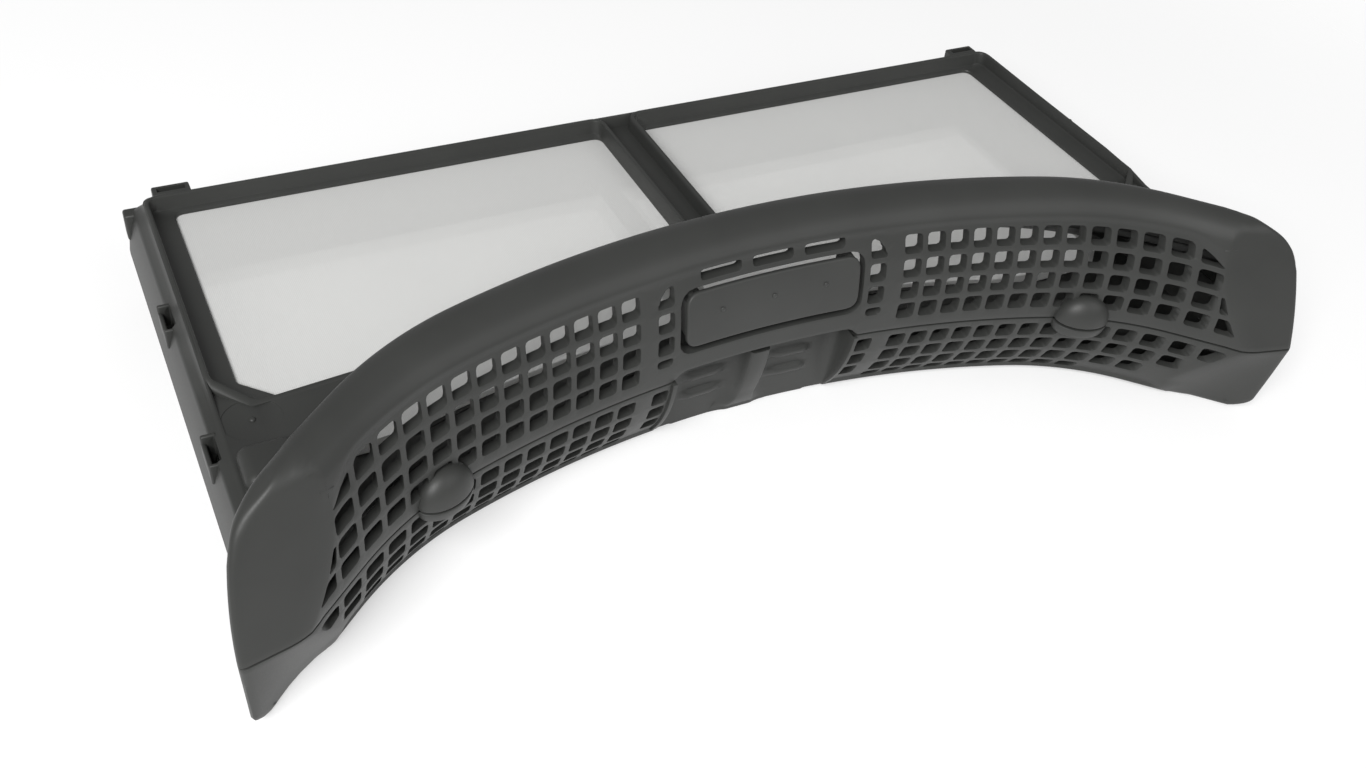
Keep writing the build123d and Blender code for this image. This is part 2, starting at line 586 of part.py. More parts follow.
# Hinge loops with their pins, on the upper leaf
with BuildPart() as loops:
    for start in (LOOP_IN, LOOP_OUT - LOOP_WALL):
        with BuildSketch(EDGE.offset(start)):
            with BuildSketch(EDGE.offset(start), mode=Mode.PRIVATE) as loop_shape:
                with Locations((HINGE_W, -split_drop)):
                    Circle(LOOP_RADIUS)
                with Locations(((rim_far - 1 + LOOP_FAR) / 2, UPPER_RIM / 2)):
                    Rectangle(LOOP_FAR - rim_far + 1, UPPER_RIM)
            make_hull(loop_shape.edges())
        extrude(amount=LOOP_WALL)
    with BuildSketch(EDGE.offset(LOOP_IN)):
        with Locations(((rim_far - 1 + LOOP_FAR) / 2, UPPER_RIM - LOOP_WALL / 2)):
            Rectangle(LOOP_FAR - rim_far + 1, LOOP_WALL)
    extrude(amount=LOOP_OUT - LOOP_IN)
    with BuildSketch(EDGE.offset(LOOP_IN + LOOP_WALL / 2)):
        with Locations((HINGE_W, -split_drop)):
            Circle(PIN)
    extrude(amount=LOOP_OUT - LOOP_IN - LOOP_WALL)
    mirror(about=Plane.YZ)

# Hinge eyes and side tongues, on the lower leaf
eye_radius = PIN + PIN_PLAY + EYE_WALL
with BuildPart() as eyes:
    with BuildSketch(EDGE.offset(LOOP_IN + LOOP_WALL + EYE_SIDE)):
        with BuildSketch(EDGE.offset(LOOP_IN + LOOP_WALL + EYE_SIDE), mode=Mode.PRIVATE) as eye_shape:
            with Locations((HINGE_W, -split_drop)):
                Circle(eye_radius)
            with Locations((SKIRT_FAR - 1.1, -split_drop - 8.0)):
                Rectangle(1.8, 6.0)
        make_hull(eye_shape.edges())
        with Locations((HINGE_W, -split_drop)):
            Circle(PIN + PIN_PLAY, mode=Mode.SUBTRACT)
    extrude(amount=LOOP_OUT - LOOP_IN - 2 * (LOOP_WALL + EYE_SIDE))
    for place in TONGUE_PLACES:
        with BuildSketch(LEAF.offset(TONGUE_TOP)):
            with Locations((TONGUE_X + TONGUE_WALL / 2, place)):
                Rectangle(TONGUE_WALL, TONGUE_WIDTH)
        extrude(amount=-split_drop - TONGUE_TOP - 2.5)
    mirror(about=Plane.YZ)

# Frames of the two leaves
with BuildSketch(SECTION) as upper_neck:
    with BuildLine():
        slope = (NECK_BEND - NECK_FOOT_RISE) / (NECK_FOOT - neck_front)
        shoulder = NECK_BEND - slope * NECK_WALL + NECK_WALL * sqrt(1 + slope ** 2)
        heel_rise = shoulder - slope * (NECK_FOOT + 1 - neck_back)
        Polyline((neck_front, NECK_RISE), (neck_back, NECK_RISE), (neck_back, shoulder),
                 (NECK_FOOT + 1, heel_rise), (NECK_FOOT + 1, NECK_FOOT_RISE), (NECK_FOOT, NECK_FOOT_RISE),
                 (neck_front, NECK_BEND), close=True)
    make_face()
with BuildPart() as upper_mouth:
    add(zone(-150, NECK_FOOT, -90, 90))
    split(bisect_by=Plane.YZ.offset(PLATEAU_IN), keep=Keep.BOTTOM)
    split(bisect_by=Plane.YZ.offset(-PLATEAU_IN), keep=Keep.TOP)
upper_tray = leaf_tray(LEAF, UPPER_RIM, upper_neck.sketch, upper_mouth.part)
with BuildPart() as upper_frame:
    add(upper_tray)
    add(loops.part)
    with BuildSketch(LEAF.offset(PLATE + 1)):
        for place in TONGUE_PLACES:
            with Locations((TONGUE_X - POCKET_PLAY + 10, place), (POCKET_PLAY - TONGUE_X - 10, place)):
                Rectangle(20, TONGUE_WIDTH + 2 * TONGUE_PLAY)
    extrude(amount=-split_drop - PLATE - 2, mode=Mode.SUBTRACT)
upper_frame.part.label = "upper_frame"
export_step(upper_frame.part, "parts/upper_frame.step")
with BuildSketch(SECTION) as lower_neck:
    with Locations(((neck_front + neck_back) / 2, -NECK_DROP / 2)):
        Rectangle(NECK_WALL, NECK_DROP)
lower_tray = leaf_tray(LOW_LEAF, lower_rim, lower_neck.sketch, ahead_of_neck)
with BuildPart() as lower_frame:
    add(lower_tray)
    add(eyes.part)
lower_frame.part.label = "lower_frame"
export_step(lower_frame.part, "parts/lower_frame.step")

# Mesh panels
mesh_panel(LEAF, "upper_mesh_left", True)
mesh_panel(LEAF, "upper_mesh_right", False)
mesh_panel(LOW_LEAF, "lower_mesh_left", False)
mesh_panel(LOW_LEAF, "lower_mesh_right", True)
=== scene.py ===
"""Studio scene of a folding tumble dryer lint filter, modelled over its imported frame."""
import logging
import math
from dataclasses import dataclass, field
from enum import Enum
from typing import Callable, Sequence

import bpy
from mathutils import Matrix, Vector


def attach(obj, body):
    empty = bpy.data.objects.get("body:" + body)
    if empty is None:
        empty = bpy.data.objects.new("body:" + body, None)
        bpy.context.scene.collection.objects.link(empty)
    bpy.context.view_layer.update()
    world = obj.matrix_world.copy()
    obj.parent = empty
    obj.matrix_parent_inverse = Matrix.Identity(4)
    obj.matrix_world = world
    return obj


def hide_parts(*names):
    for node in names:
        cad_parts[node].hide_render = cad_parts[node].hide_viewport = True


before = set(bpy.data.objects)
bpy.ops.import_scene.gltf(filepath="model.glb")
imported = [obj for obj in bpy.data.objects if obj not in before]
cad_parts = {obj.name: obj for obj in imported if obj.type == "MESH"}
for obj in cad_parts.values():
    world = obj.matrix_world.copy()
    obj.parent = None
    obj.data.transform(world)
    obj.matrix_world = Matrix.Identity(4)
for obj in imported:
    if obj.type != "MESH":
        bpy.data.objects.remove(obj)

LOG = logging.getLogger("lint_filter")
MM = 0.001
Point = tuple[float, float, float]
Flat = tuple[float, float]
Colour = tuple[float, float, float]
Obj = bpy.types.Object


class Side(Enum):
    """Left and right of the filter, seen from the front of the head."""

    LEFT = -1
    RIGHT = 1


class Leaf(Enum):
    """The two hinged leaves, each with the body that it rides on."""

    UPPER = "upper_half"
    LOWER = "lower_half"


def smooth_max(first: float, second: float, blend: float) -> float:
    """Give the larger of two numbers, rounded where they are close."""
    near = max(blend - abs(first - second), 0.0) / blend
    return max(first, second) + near * near * blend * 0.25


def ease(value: float) -> float:
    """Give a soft step from 0 to 1."""
    value = min(max(value, 0.0), 1.0)
    return value * value * (3.0 - 2.0 * value)


def curve(start: Flat, control: Flat, end: Flat, steps: Sequence[float]) -> list[Flat]:
    """Give points on a quadratic curve.

    Args:
        start: First point.
        control: Point that the curve is drawn to.
        end: Last point.
        steps: Places along the curve, from 0 to 1.

    Returns:
        One point for each place.
    """
    points = []
    for t in steps:
        a, b, c = (1 - t) ** 2, 2 * t * (1 - t), t * t
        points.append((a * start[0] + b * control[0] + c * end[0],
                       a * start[1] + b * control[1] + c * end[1]))
    return points


def between(values: Sequence[float], place: float) -> float:
    """Read a list of numbers at a place between its entries."""
    first = min(int(place), len(values) - 2)
    return values[first] + (values[first + 1] - values[first]) * (place - first)


def search(low: float, high: float, before: Callable[[float], bool], rounds: int = 24) -> Flat:
    """Halve a range round the place where a test stops holding.

    Args:
        low: Start of the range, where the test holds.
        high: End of the range, where it fails.
        before: The test.
        rounds: How often the range is halved.

    Returns:
        The two ends of what is left.
    """
    for _ in range(rounds):
        middle = (low + high) / 2
        low, high = (middle, high) if before(middle) else (low, middle)
    return low, high


def ends(side: Side, near: float, far: float) -> Flat:
    """Give the low and the high end of what lies between two distances from the middle."""
    first, second = side.value * near, side.value * far
    return min(first, second), max(first, second)


def rounded(corners: Sequence[tuple[float, float, float]], steps: int = 6) -> list[Flat]:
    """Round the corners of a closed outline.

    Args:
        corners: Places and radii of the corners, in order.
        steps: Parts that each round corner is cut into.

    Returns:
        The points of the outline, the same number for each corner.
    """
    points = []
    count = len(corners)
    for index, (x, y, radius) in enumerate(corners):
        here = Vector((x, y))
        before = (Vector(corners[index - 1][:2]) - here).normalized()
        after = (Vector(corners[(index + 1) % count][:2]) - here).normalized()
        turn = math.pi - before.angle(after)
        reach = radius * math.tan(turn / 2)
        start, end = here + before * reach, here + after * reach
        points += curve(tuple(start), (x, y), tuple(end), [i / steps for i in range(steps + 1)])
    return points


class Bench:
    """Modelling steps that the pieces share."""

    @staticmethod
    def take(*objs: Obj) -> None:
        """Select these objects alone and make the first one active.

        Args:
            objs: Objects to select.
        """
        if bpy.context.object is not None and bpy.context.object.mode != "OBJECT":
            bpy.ops.object.mode_set(mode="OBJECT")
        bpy.ops.object.select_all(action="DESELECT")
        for obj in objs:
            obj.select_set(True)
        if objs:
            bpy.context.view_layer.objects.active = objs[0]

    @staticmethod
    def grid(name: str, columns: int, rows: int, place: Callable[[int, int], Point],
             keep: Callable[[int, int], bool] | None = None) -> Obj:
        """Add a grid, put its crossings in place and delete the cells that stay open.

        Args:
            name: Name of the object.
            columns: Crossings along a row.
            rows: Number of rows.
            place: Gives the place of a crossing in millimetres, from its column and row.
            keep: Tells whether a cell stays, from its first column and row.

        Returns:
            The new sheet.
        """
        Bench.take()
        bpy.ops.mesh.primitive_grid_add(x_subdivisions=columns - 1, y_subdivisions=rows - 1, size=1)
        obj = bpy.context.object
        obj.name = name
        cells = [((face.center.x + 0.5) * (columns - 1), (face.center.y + 0.5) * (rows - 1))
                 for face in obj.data.polygons]
        for vertex in obj.data.vertices:
            vertex.co = Vector(place(vertex.index % columns, vertex.index // columns)) * MM
        if keep is not None:
            Bench.pick_faces(obj, lambda face: not keep(int(cells[face.index][0]), int(cells[face.index][1])))
            bpy.ops.mesh.delete(type="FACE")
            bpy.ops.object.mode_set(mode="OBJECT")
        return obj

    @staticmethod
    def pick_faces(obj: Obj, wanted: Callable[[bpy.types.MeshPolygon], bool]) -> None:
        """Enter edit mode with the wanted faces selected.

        Args:
            obj: Object to edit.
            wanted: Tells whether a face is selected.
        """
        Bench.take(obj)
        bpy.context.tool_settings.mesh_select_mode = (False, False, True)
        bpy.ops.object.mode_set(mode="EDIT")
        bpy.ops.mesh.select_all(action="DESELECT")
        bpy.ops.object.mode_set(mode="OBJECT")
        for face in obj.data.polygons:
            face.select = bool(wanted(face))
        bpy.ops.object.mode_set(mode="EDIT")

    @staticmethod
    def loft(name: str, rings: Sequence[Sequence[Point]], round_way: bool = True, tube: bool = True) -> Obj:
        """Join outlines of equal length with faces.

        Args:
            name: Name of the object.
            rings: Outlines in millimetres, in order.
            round_way: Whether each outline closes on itself.
            tube: Whether the last outline meets the first.

        Returns:
            The new shell, welded, with its faces outward.
        """
        columns = len(rings[0]) + int(round_way)
        rows = len(rings) + int(tube)
        obj = Bench.grid(name, columns, rows, lambda i, j: rings[j % len(rings)][i % len(rings[0])])
        Bench.weld(obj)
        return obj

    @staticmethod
    def weld(obj: Obj) -> None:
        """Merge points that meet, close what is left open at the ends and turn the faces outward.

        Args:
            obj: Object to mend.
        """
        Bench.pick_faces(obj, lambda face: True)
        bpy.ops.mesh.remove_doubles(threshold=0.000004)
        bpy.ops.mesh.fill_holes(sides=0)
        bpy.ops.mesh.select_all(action="SELECT")
        bpy.ops.mesh.normals_make_consistent(inside=False)
        bpy.ops.object.mode_set(mode="OBJECT")

    @staticmethod
    def slab(name: str, outlines: Sequence[Sequence[Point]], lift: Point) -> Obj:
        """Fill flat outlines, the later ones as openings in the first, and extrude them.

        Args:
            name: Name of the object.
            outlines: Closed outlines in millimetres.
            lift: Way and height of the extrusion in millimetres.

        Returns:
            The new slab.
        """
        loops = []
        for outline in outlines:
            Bench.take()
            bpy.ops.mesh.primitive_circle_add(vertices=len(outline))
            for vertex in bpy.context.object.data.vertices:
                vertex.co = Vector(outline[vertex.index]) * MM
            loops.append(bpy.context.object)
        obj = Bench.join(name, loops)
        Bench.take(obj)
        bpy.context.tool_settings.mesh_select_mode = (False, True, False)
        bpy.ops.object.mode_set(mode="EDIT")
        bpy.ops.mesh.select_all(action="SELECT")
        bpy.ops.mesh.fill(use_beauty=True)
        bpy.ops.mesh.select_all(action="SELECT")
        bpy.ops.mesh.dissolve_limited(angle_limit=0.02)
        bpy.ops.mesh.select_all(action="SELECT")
        bpy.ops.mesh.extrude_region_move(TRANSFORM_OT_translate={"value": tuple(Vector(lift) * MM)})
        bpy.ops.mesh.select_all(action="SELECT")
        bpy.ops.mesh.normals_make_consistent(inside=False)
        bpy.ops.object.mode_set(mode="OBJECT")
        return obj

    @staticmethod
    def settle(name: str) -> Obj:
        """Name the new primitive and apply its place, turn and size.

        Args:
            name: Name of the object.

        Returns:
            The object.
        """
        obj = bpy.context.object
        obj.name = name
        bpy.ops.object.transform_apply(location=True, rotation=True, scale=True)
        return obj

    @staticmethod
    def block(name: str, low: Point, high: Point, edge: float, steps: int = 3) -> Obj:
        """Add a block with round edges.

        Args:
            name: Name of the object.
            low: Lowest corner in millimetres.
            high: Highest corner in millimetres.
            edge: Radius of the edges.
            steps: Parts that each edge is cut into.

        Returns:
            The new block.
        """
        Bench.take()
        middle = (Vector(low) + Vector(high)) / 2 * MM
        bpy.ops.mesh.primitive_cube_add(size=1, location=middle, scale=(Vector(high) - Vector(low)) * MM)
        obj = Bench.settle(name)
        Bench.bevel(obj, edge, steps, 30)
        return obj

    @staticmethod
    def ball(name: str, middle: Point, radii: Point, segments: int) -> Obj:
        """Add a ball with its own radius along each axis.

        Args:
            name: Name of the object.
            middle: Its middle in millimetres.
            radii: Radii in millimetres.
            segments: Parts round its girth, twice those from pole to pole.

        Returns:
            The new ball.
        """
        Bench.take()
        bpy.ops.mesh.primitive_uv_sphere_add(segments=segments, ring_count=segments // 2, radius=MM,
                                             location=Vector(middle) * MM, scale=radii)
        return Bench.settle(name)

    @staticmethod
    def rod(name: str, middle: Point, radius: float, length: float, edge: float, sides: int = 40) -> Obj:
        """Add a round rod that lies across the filter.

        Args:
            name: Name of the object.
            middle: Its middle in millimetres.
            radius: Radius in millimetres.
            length: Length in millimetres.
            edge: Radius of the edges.
            sides: Parts that its round is cut into.

        Returns:
            The new rod.
        """
        Bench.take()
        bpy.ops.mesh.primitive_cylinder_add(vertices=sides, radius=radius * MM, depth=length * MM,
                                            rotation=(0, math.pi / 2, 0), location=Vector(middle) * MM)
        obj = Bench.settle(name)
        Bench.bevel(obj, edge, 2, 50)
        return obj

    @staticmethod
    def cut(obj: Obj, tool: Obj) -> None:
        """Take a tool's shape out of an object and delete the tool."""
        Bench.apply(obj, "BOOLEAN", operation="DIFFERENCE", object=tool, solver="EXACT")
        bpy.data.objects.remove(tool)

    @staticmethod
    def turn_faces(obj: Obj) -> None:
        """Turn all faces of an object round.

        Args:
            obj: Object to change.
        """
        Bench.pick_faces(obj, lambda face: True)
        bpy.ops.mesh.flip_normals()
        bpy.ops.object.mode_set(mode="OBJECT")

    @staticmethod
    def pocket(obj: Obj, wall: float, depth: float) -> None:
        """Inset the top of a block and push it in.

        Args:
            obj: Block to open.
            wall: Wall left round the opening, in millimetres.
            depth: Depth of the opening in millimetres.
        """
        top = max(face.center.z for face in obj.data.polygons)
        Bench.pick_faces(obj, lambda face: face.center.z > top - 1e-6 and face.normal.z > 0.99)
        bpy.ops.mesh.inset(thickness=wall * MM)
        bpy.ops.mesh.extrude_region_move(TRANSFORM_OT_translate={"value": (0, 0, -depth * MM)})
        bpy.ops.object.mode_set(mode="OBJECT")

    @staticmethod
    def shift(obj: Obj, place: Callable[[float, float, float], Point]) -> Obj:
        """Move every point of an object to the place that a rule gives.

        Args:
            obj: Object to move.
            place: Gives the new place in millimetres from the old one.

        Returns:
            The same object.
        """
        for vertex in obj.data.vertices:
            vertex.co = Vector(place(*(vertex.co / MM))) * MM
        obj.data.update()
        Bench.weld(obj)
        return obj

    @staticmethod
    def apply(obj: Obj, kind: str, **settings: object) -> None:
        """Add a modifier, set it and apply it.

        Args:
            obj: Object to change.
            kind: Type of the modifier.
            settings: Values of the modifier.
        """
        Bench.take(obj)
        modifier = obj.modifiers.new(kind.lower(), kind)
        for key, value in settings.items():
            setattr(modifier, key, value)
        bpy.ops.object.modifier_apply(modifier=modifier.name)

    @staticmethod
    def bevel(obj: Obj, width: float, steps: int, angle: float) -> None:
        """Round the edges that are sharper than an angle."""
        Bench.apply(obj, "BEVEL", width=width * MM, segments=steps, limit_method="ANGLE",
                    angle_limit=math.radians(angle), use_clamp_overlap=True)

    @staticmethod
    def smooth(obj: Obj, angle: float) -> None:
        """Shade an object smooth, with edges sharper than an angle kept."""
        Bench.take(obj)
        bpy.ops.object.shade_smooth_by_angle(angle=math.radians(angle))

    @staticmethod
    def join(name: str, objs: Sequence[Obj]) -> Obj:
        """Join objects into one.

        Args:
            name: Name of the whole.
            objs: Objects to join.

        Returns:
            The whole.
        """
        Bench.take(*objs)
        if len(objs) > 1:
            bpy.ops.object.join()
        obj = bpy.context.object
        obj.name = name
        obj.data.name = name
        return obj

    @staticmethod
    def dress(obj: Obj, angle: float, finish: bpy.types.Material, body: str, slot: str, *nodes: str) -> Obj:
        """Shade a finished piece, give it its material and tie it to the frame.

        Args:
            obj: The piece.
            angle: Angle in degrees above which edges stay sharp.
            finish: Its material.
            body: Body that it rides on.
            slot: Name of a material slot; not used.
            nodes: Nodes that it replaces.

        Returns:
            The same piece.
        """
        Bench.smooth(obj, angle)
        obj.data.materials.clear()
        obj.data.materials.append(finish)
        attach(obj, body)
        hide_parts(*nodes)
        return obj


class Wiring:
    """Nodes of a material or a world, added with their values and linked by the names of their sockets."""

    def __init__(self, owner: bpy.types.Material | bpy.types.World) -> None:
        """Switch the owner's nodes on."""
        owner.use_nodes = True
        self.tree = owner.node_tree

    def put(self, node: bpy.types.Node, values: dict[str, object]) -> bpy.types.Node:
        """Set inputs of a node.

        Args:
            node: The node.
            values: Values by the names of the sockets.

        Returns:
            The same node.
        """
        for socket, value in values.items():
            node.inputs[socket].default_value = value
        return node

    def add(self, kind: str, values: dict[str, object] | None = None) -> bpy.types.Node:
        """Add a node of a kind and set its inputs."""
        return self.put(self.tree.nodes.new("ShaderNode" + kind), values or {})

    def shades(self, colour: Colour, stops: Sequence[Flat], limit: float = 1.0) -> bpy.types.Node:
        """Add a ramp between two shades of a colour.

        Args:
            colour: The colour.
            stops: Place and strength of each shade.
            limit: Highest value of a channel.

        Returns:
            The ramp.
        """
        ramp = self.add("ValToRGB")
        for stop, (place, strength) in zip(ramp.color_ramp.elements, stops):
            stop.position = place
            stop.color = (*[min(channel * strength, limit) for channel in colour], 1)
        return ramp

    def link(self, start: bpy.types.Node, output: str, *targets: tuple[bpy.types.Node, str | int]) -> None:
        """Link one output of a node to inputs of others."""
        for node, socket in targets:
            self.tree.links.new(start.outputs[output], node.inputs[socket])


@dataclass(frozen=True)
class Moulding:
    """Dark moulded plastic with a faint cloud in its tone and a fine grain."""

    name: str
    colour: Colour
    roughness: float = 0.46
    gloss_spread: float = 0.07
    shine: float = 0.36
    cloud_scale: float = 34.0
    grain_scale: float = 2400.0
    grain: float = 0.18
    grain_depth: float = 0.1

    def build(self) -> bpy.types.Material:
        """Make the material.

        Returns:
            A node material in object coordinates.
        """
        material = bpy.data.materials.new(self.name)
        wires = Wiring(material)
        shader = wires.put(wires.tree.nodes["Principled BSDF"], {"Specular IOR Level": self.shine})
        place = wires.add("TexCoord")
        cloud = wires.add("TexNoise", {"Scale": self.cloud_scale, "Detail": 4.0})
        tone = wires.shades(self.colour, ((0.3, 0.92), (0.7, 1.08)))
        fine = wires.add("TexNoise", {"Scale": self.grain_scale, "Detail": 2.0})
        gloss = wires.add("MapRange", {"To Min": self.roughness - self.gloss_spread,
                                       "To Max": self.roughness + self.gloss_spread})
        bump = wires.add("Bump", {"Strength": self.grain, "Distance": self.grain_depth * MM})
        wires.link(place, "Object", (cloud, "Vector"), (fine, "Vector"))
        wires.link(cloud, "Fac", (tone, "Fac"))
        wires.link(tone, "Color", (shader, "Base Color"))
        wires.link(fine, "Fac", (gloss, "Value"), (bump, "Height"))
        wires.link(gloss, "Result", (shader, "Roughness"))
        wires.link(bump, "Normal", (shader, "Normal"))
        return material


@dataclass(frozen=True)
class Weave:
    """White woven filter mesh that lets part of the light through."""

    name: str
    colour: Colour
    pitch: float = 0.62
    cover: float = 0.5
    roughness: float = 0.82
    shine: float = 0.2
    relief: float = 0.25
    relief_depth: float = 0.2
    bands: float = 3.183

    def build(self) -> bpy.types.Material:
        """Make the material, with one wave for each way of the threads.

        Returns:
            A node material in object coordinates.
        """
        material = bpy.data.materials.new(self.name)
        wires = Wiring(material)
        shader = wires.put(wires.tree.nodes["Principled BSDF"], {
            "Roughness": self.roughness, "Specular IOR Level": self.shine, "Alpha": self.cover})
        place = wires.add("TexCoord")
        cross = wires.add("Math")
        cross.operation = "MAXIMUM"
        for socket, way in enumerate(("X", "Y")):
            wave = wires.add("TexWave", {"Scale": 1.0 / (self.pitch * MM) / self.bands, "Distortion": 0.0})
            wave.bands_direction = way
            wires.link(place, "Object", (wave, "Vector"))
            wires.link(wave, "Fac", (cross, socket))
        tone = wires.shades(self.colour, ((0.0, 0.86), (1.0, 1.06)), limit=0.9)
        bump = wires.add("Bump", {"Strength": self.relief, "Distance": self.relief_depth * MM})
        wires.link(cross, "Value", (tone, "Fac"), (bump, "Height"))
        wires.link(tone, "Color", (shader, "Base Color"))
        wires.link(bump, "Normal", (shader, "Normal"))
        return material


@dataclass(frozen=True)
class Head:
    """Shape that the two halves of the bowed head share, in millimetres.

    Depths run back from the middle of the front, and rises up from the seam.
    """

    front: float = -43.842
    seam: float = 37.5
    half: float = 201.15
    tip: float = 61.75
    bow_radius: float = 400.0
    bow_half: float = 114.0
    shoulder: float = 129.0
    wing: float = 39.5
    depth: float = 31.8
    gap: float = 0.45
    first_hole: float = 55.6
    hole: float = 7.0
    pitch: float = 9.0
    holes: int = 14
    side_slope: float = 0.18
    panel_slope: float = 0.2034
    window: float = 36.5
    window_corner: float = 5.5
    window_bend: float = 34.0
    slots: Point = (8.0, 12.4, 28.4)
    lone_hole: Flat = (38.8, 45.2)
    grille_start: float = 48.8
    end_steps: tuple[float, ...] = (0.0, 0.05, 0.11, 0.2, 0.33, 0.5, 0.67, 0.8, 0.88, 0.94, 0.98, 1.0)

    def bow(self, x: float) -> float:
        """Give how far back the front lies at a place across the head.

        Args:
            x: Place across the head.

        Returns:
            Depth from the middle, negative toward the front.
        """
        x = abs(x)
        if x <= self.bow_half:
            return math.sqrt(self.bow_radius ** 2 - x * x) - self.bow_radius
        start = self.bow_half / self.bow_radius
        low = math.sqrt(1 - start * start)
        base = self.bow_radius * (low - 1)
        end = math.sin(math.radians(self.wing))
        sine = min(start + (x - self.bow_half) / self.shoulder, end)
        base -= self.shoulder * (low - math.sqrt(1 - sine * sine))
        straight = x - self.bow_half - self.shoulder * (sine - start)
        return base - math.tan(math.radians(self.wing)) * max(straight, 0.0)

    def turn(self, x: float) -> float:
        """Give the turn of the front in plan."""
        return -math.atan(self.bow(x + 0.5) - self.bow(x - 0.5))

    def place(self, x: float, depth: float, rise: float) -> Point:
        """Turn head measures into a place in the frame."""
        return (x, self.front + depth, self.seam + rise)


@dataclass
class Cover:
    """One half of the head: a perforated front, a closed end on each side and a rear wall.

    The half is a grid of rows and columns across the head. The rows go up the front, over the edge and down
    the rear, so that row n from the front meets row n from the rear at the ends.
    """

    head: Head
    finish: bpy.types.Material
    wall: float = 2.4
    pull: float = 4.0
    step: float = 1.5
    step_gap: float = 0.4
    step_blend: float = 5.0
    edge_round: float = 2.4
    edge_share: float = 0.42
    edge_bevel: float = 0.45
    flat_from: float = 120.0
    ridge_blend: float = 4.5
    ridge_least: float = 0.8
    ridge_fade: float = 8.0
    ridge_search: Flat = (130.0, 199.0)
    last_hole: float = 176.2
    hole_margin: float = 0.5
    hole_least: float = 0.6
    bar_share: float = 0.35
    hole_round: float = 1.25
    round_share: float = 0.293
    own_corners: Flat = (30.0, 37.0)
    height_range: Flat = (-34.0, 45.0)
    front_facing: float = 0.55
    front_blend: float = 0.2
    end_wall: float = 6.0
    soft_from: float = 177.0
    soft_turns: tuple[tuple[float, int], ...] = ((39.0, 8), (36.0, 3), (32.0, 2))
    dome_x: float = 127.4
    dome_radii: Point = (11.0, 7.0, 11.0)
    dome_edge: float = 0.7
    cap_rows: int = 5
    known: dict[float, float] = field(default_factory=dict)

    name: str = "cover"
    nodes: tuple[str, ...] = ()
    body: str = ""
    barrel: float = 96.0
    rear_end: float = 23.5
    rows: tuple[float, ...] = ()
    hole_rows: tuple[int, ...] = ()
    slot_marks: tuple[float, ...] = ()

    def row_marks(self) -> list[float]:
        """Give the rows on the front as places between the main rows, with one beside each hole corner.

        Returns:
            Numbers of main rows, with fractions.
        """
        beside = self.hole_round / self.head.hole * 2
        extra = [mark for low in self.hole_rows for mark in (low + beside, low + 2 - beside)]
        return sorted([*range(len(self.rows)), *extra, *self.slot_marks])

    def open_rows(self) -> list[int]:
        """Give the main rows that lie in a hole."""
        return [row for low in self.hole_rows for row in (low, low + 1)]

    def front_rows(self) -> list[float]:
        """Give the heights of all rows on the front, from the seam outward."""
        return [between(self.rows, mark) for mark in self.row_marks()]

    def main_cell(self, row: int) -> int:
        """Give the main row that a cell belongs to."""
        marks = self.row_marks()
        return int(marks[row]) if row < len(marks) - 1 else int(marks[-1]) + row - len(marks) + 1

    def crest(self) -> list[Flat]:
        """Give depth and rise of the rows between front and rear."""
        raise NotImplementedError

    def panel(self, x: float, rise: float) -> float:
        """Give the depth of the flat end at a place."""
        raise NotImplementedError

    def edge_x(self, rise: float) -> float:
        """Give the outer edge of the end at a height."""
        raise NotImplementedError

    def is_open(self, x: float, row: int) -> bool:
        """Tell whether the cell at a place and row is a hole."""
        raise NotImplementedError

    def nudge(self, x: float, mark: float, rise: float) -> Flat:
        """Give place and height of a crossing near the middle, moved where an opening has its own outline."""
        raise NotImplementedError

    def hole_number(self, x: float) -> int | None:
        """Give the number of the hole at a place across.

        Args:
            x: Place across the head.

        Returns:
            Number from the middle out, or None between holes.
        """
        number = round((x - self.head.first_hole) / self.head.pitch)
        inside = abs(x - self.head.first_hole - self.head.pitch * number) < self.head.hole / 2
        return number if inside and 0 <= number < self.head.holes else None

    def is_lone(self, x: float) -> bool:
        """Tell whether a place lies in the column of single holes beside the window."""
        return self.head.lone_hole[0] < x < self.head.lone_hole[1]

    def curve_in(self, rise: float) -> float:
        """Give how far the front curves back at a height."""
        return self.barrel - math.sqrt(self.barrel ** 2 - rise * rise)

    def ridge(self, rise: float) -> float:
        """Find where the front meets the flat end.

        Args:
            rise: Height from the seam.

        Returns:
            Place across the head.
        """
        key = round(rise, 3)
        if key not in self.known:
            depth = self.curve_in(rise)
            self.known[key] = search(*self.ridge_search,
                                     lambda x: self.head.bow(x) + depth > self.panel(x, rise))[0]
        return self.known[key]

    def columns(self) -> list[float]:
        """Give the nominal places of the columns on the right, up to the last hole.

        Returns:
            Places in millimetres.
        """
        head, turn, side = self.head, self.hole_round, self.head.hole / 2
        slot, left, right = head.slots
        near, far = head.lone_hole
        places = [0.0, slot - turn, slot, left, left + turn, (left + right) / 2, right - turn, right]
        places += [head.window - head.window_corner, head.window_bend, head.window]
        places += [near, near + turn, (near + far) / 2, far - turn, far, head.grille_start]
        for index in range(head.holes):
            centre = head.first_hole + head.pitch * index
            places += [centre + way for way in (-side, turn - side, 0.0, side - turn, side)]
        return places

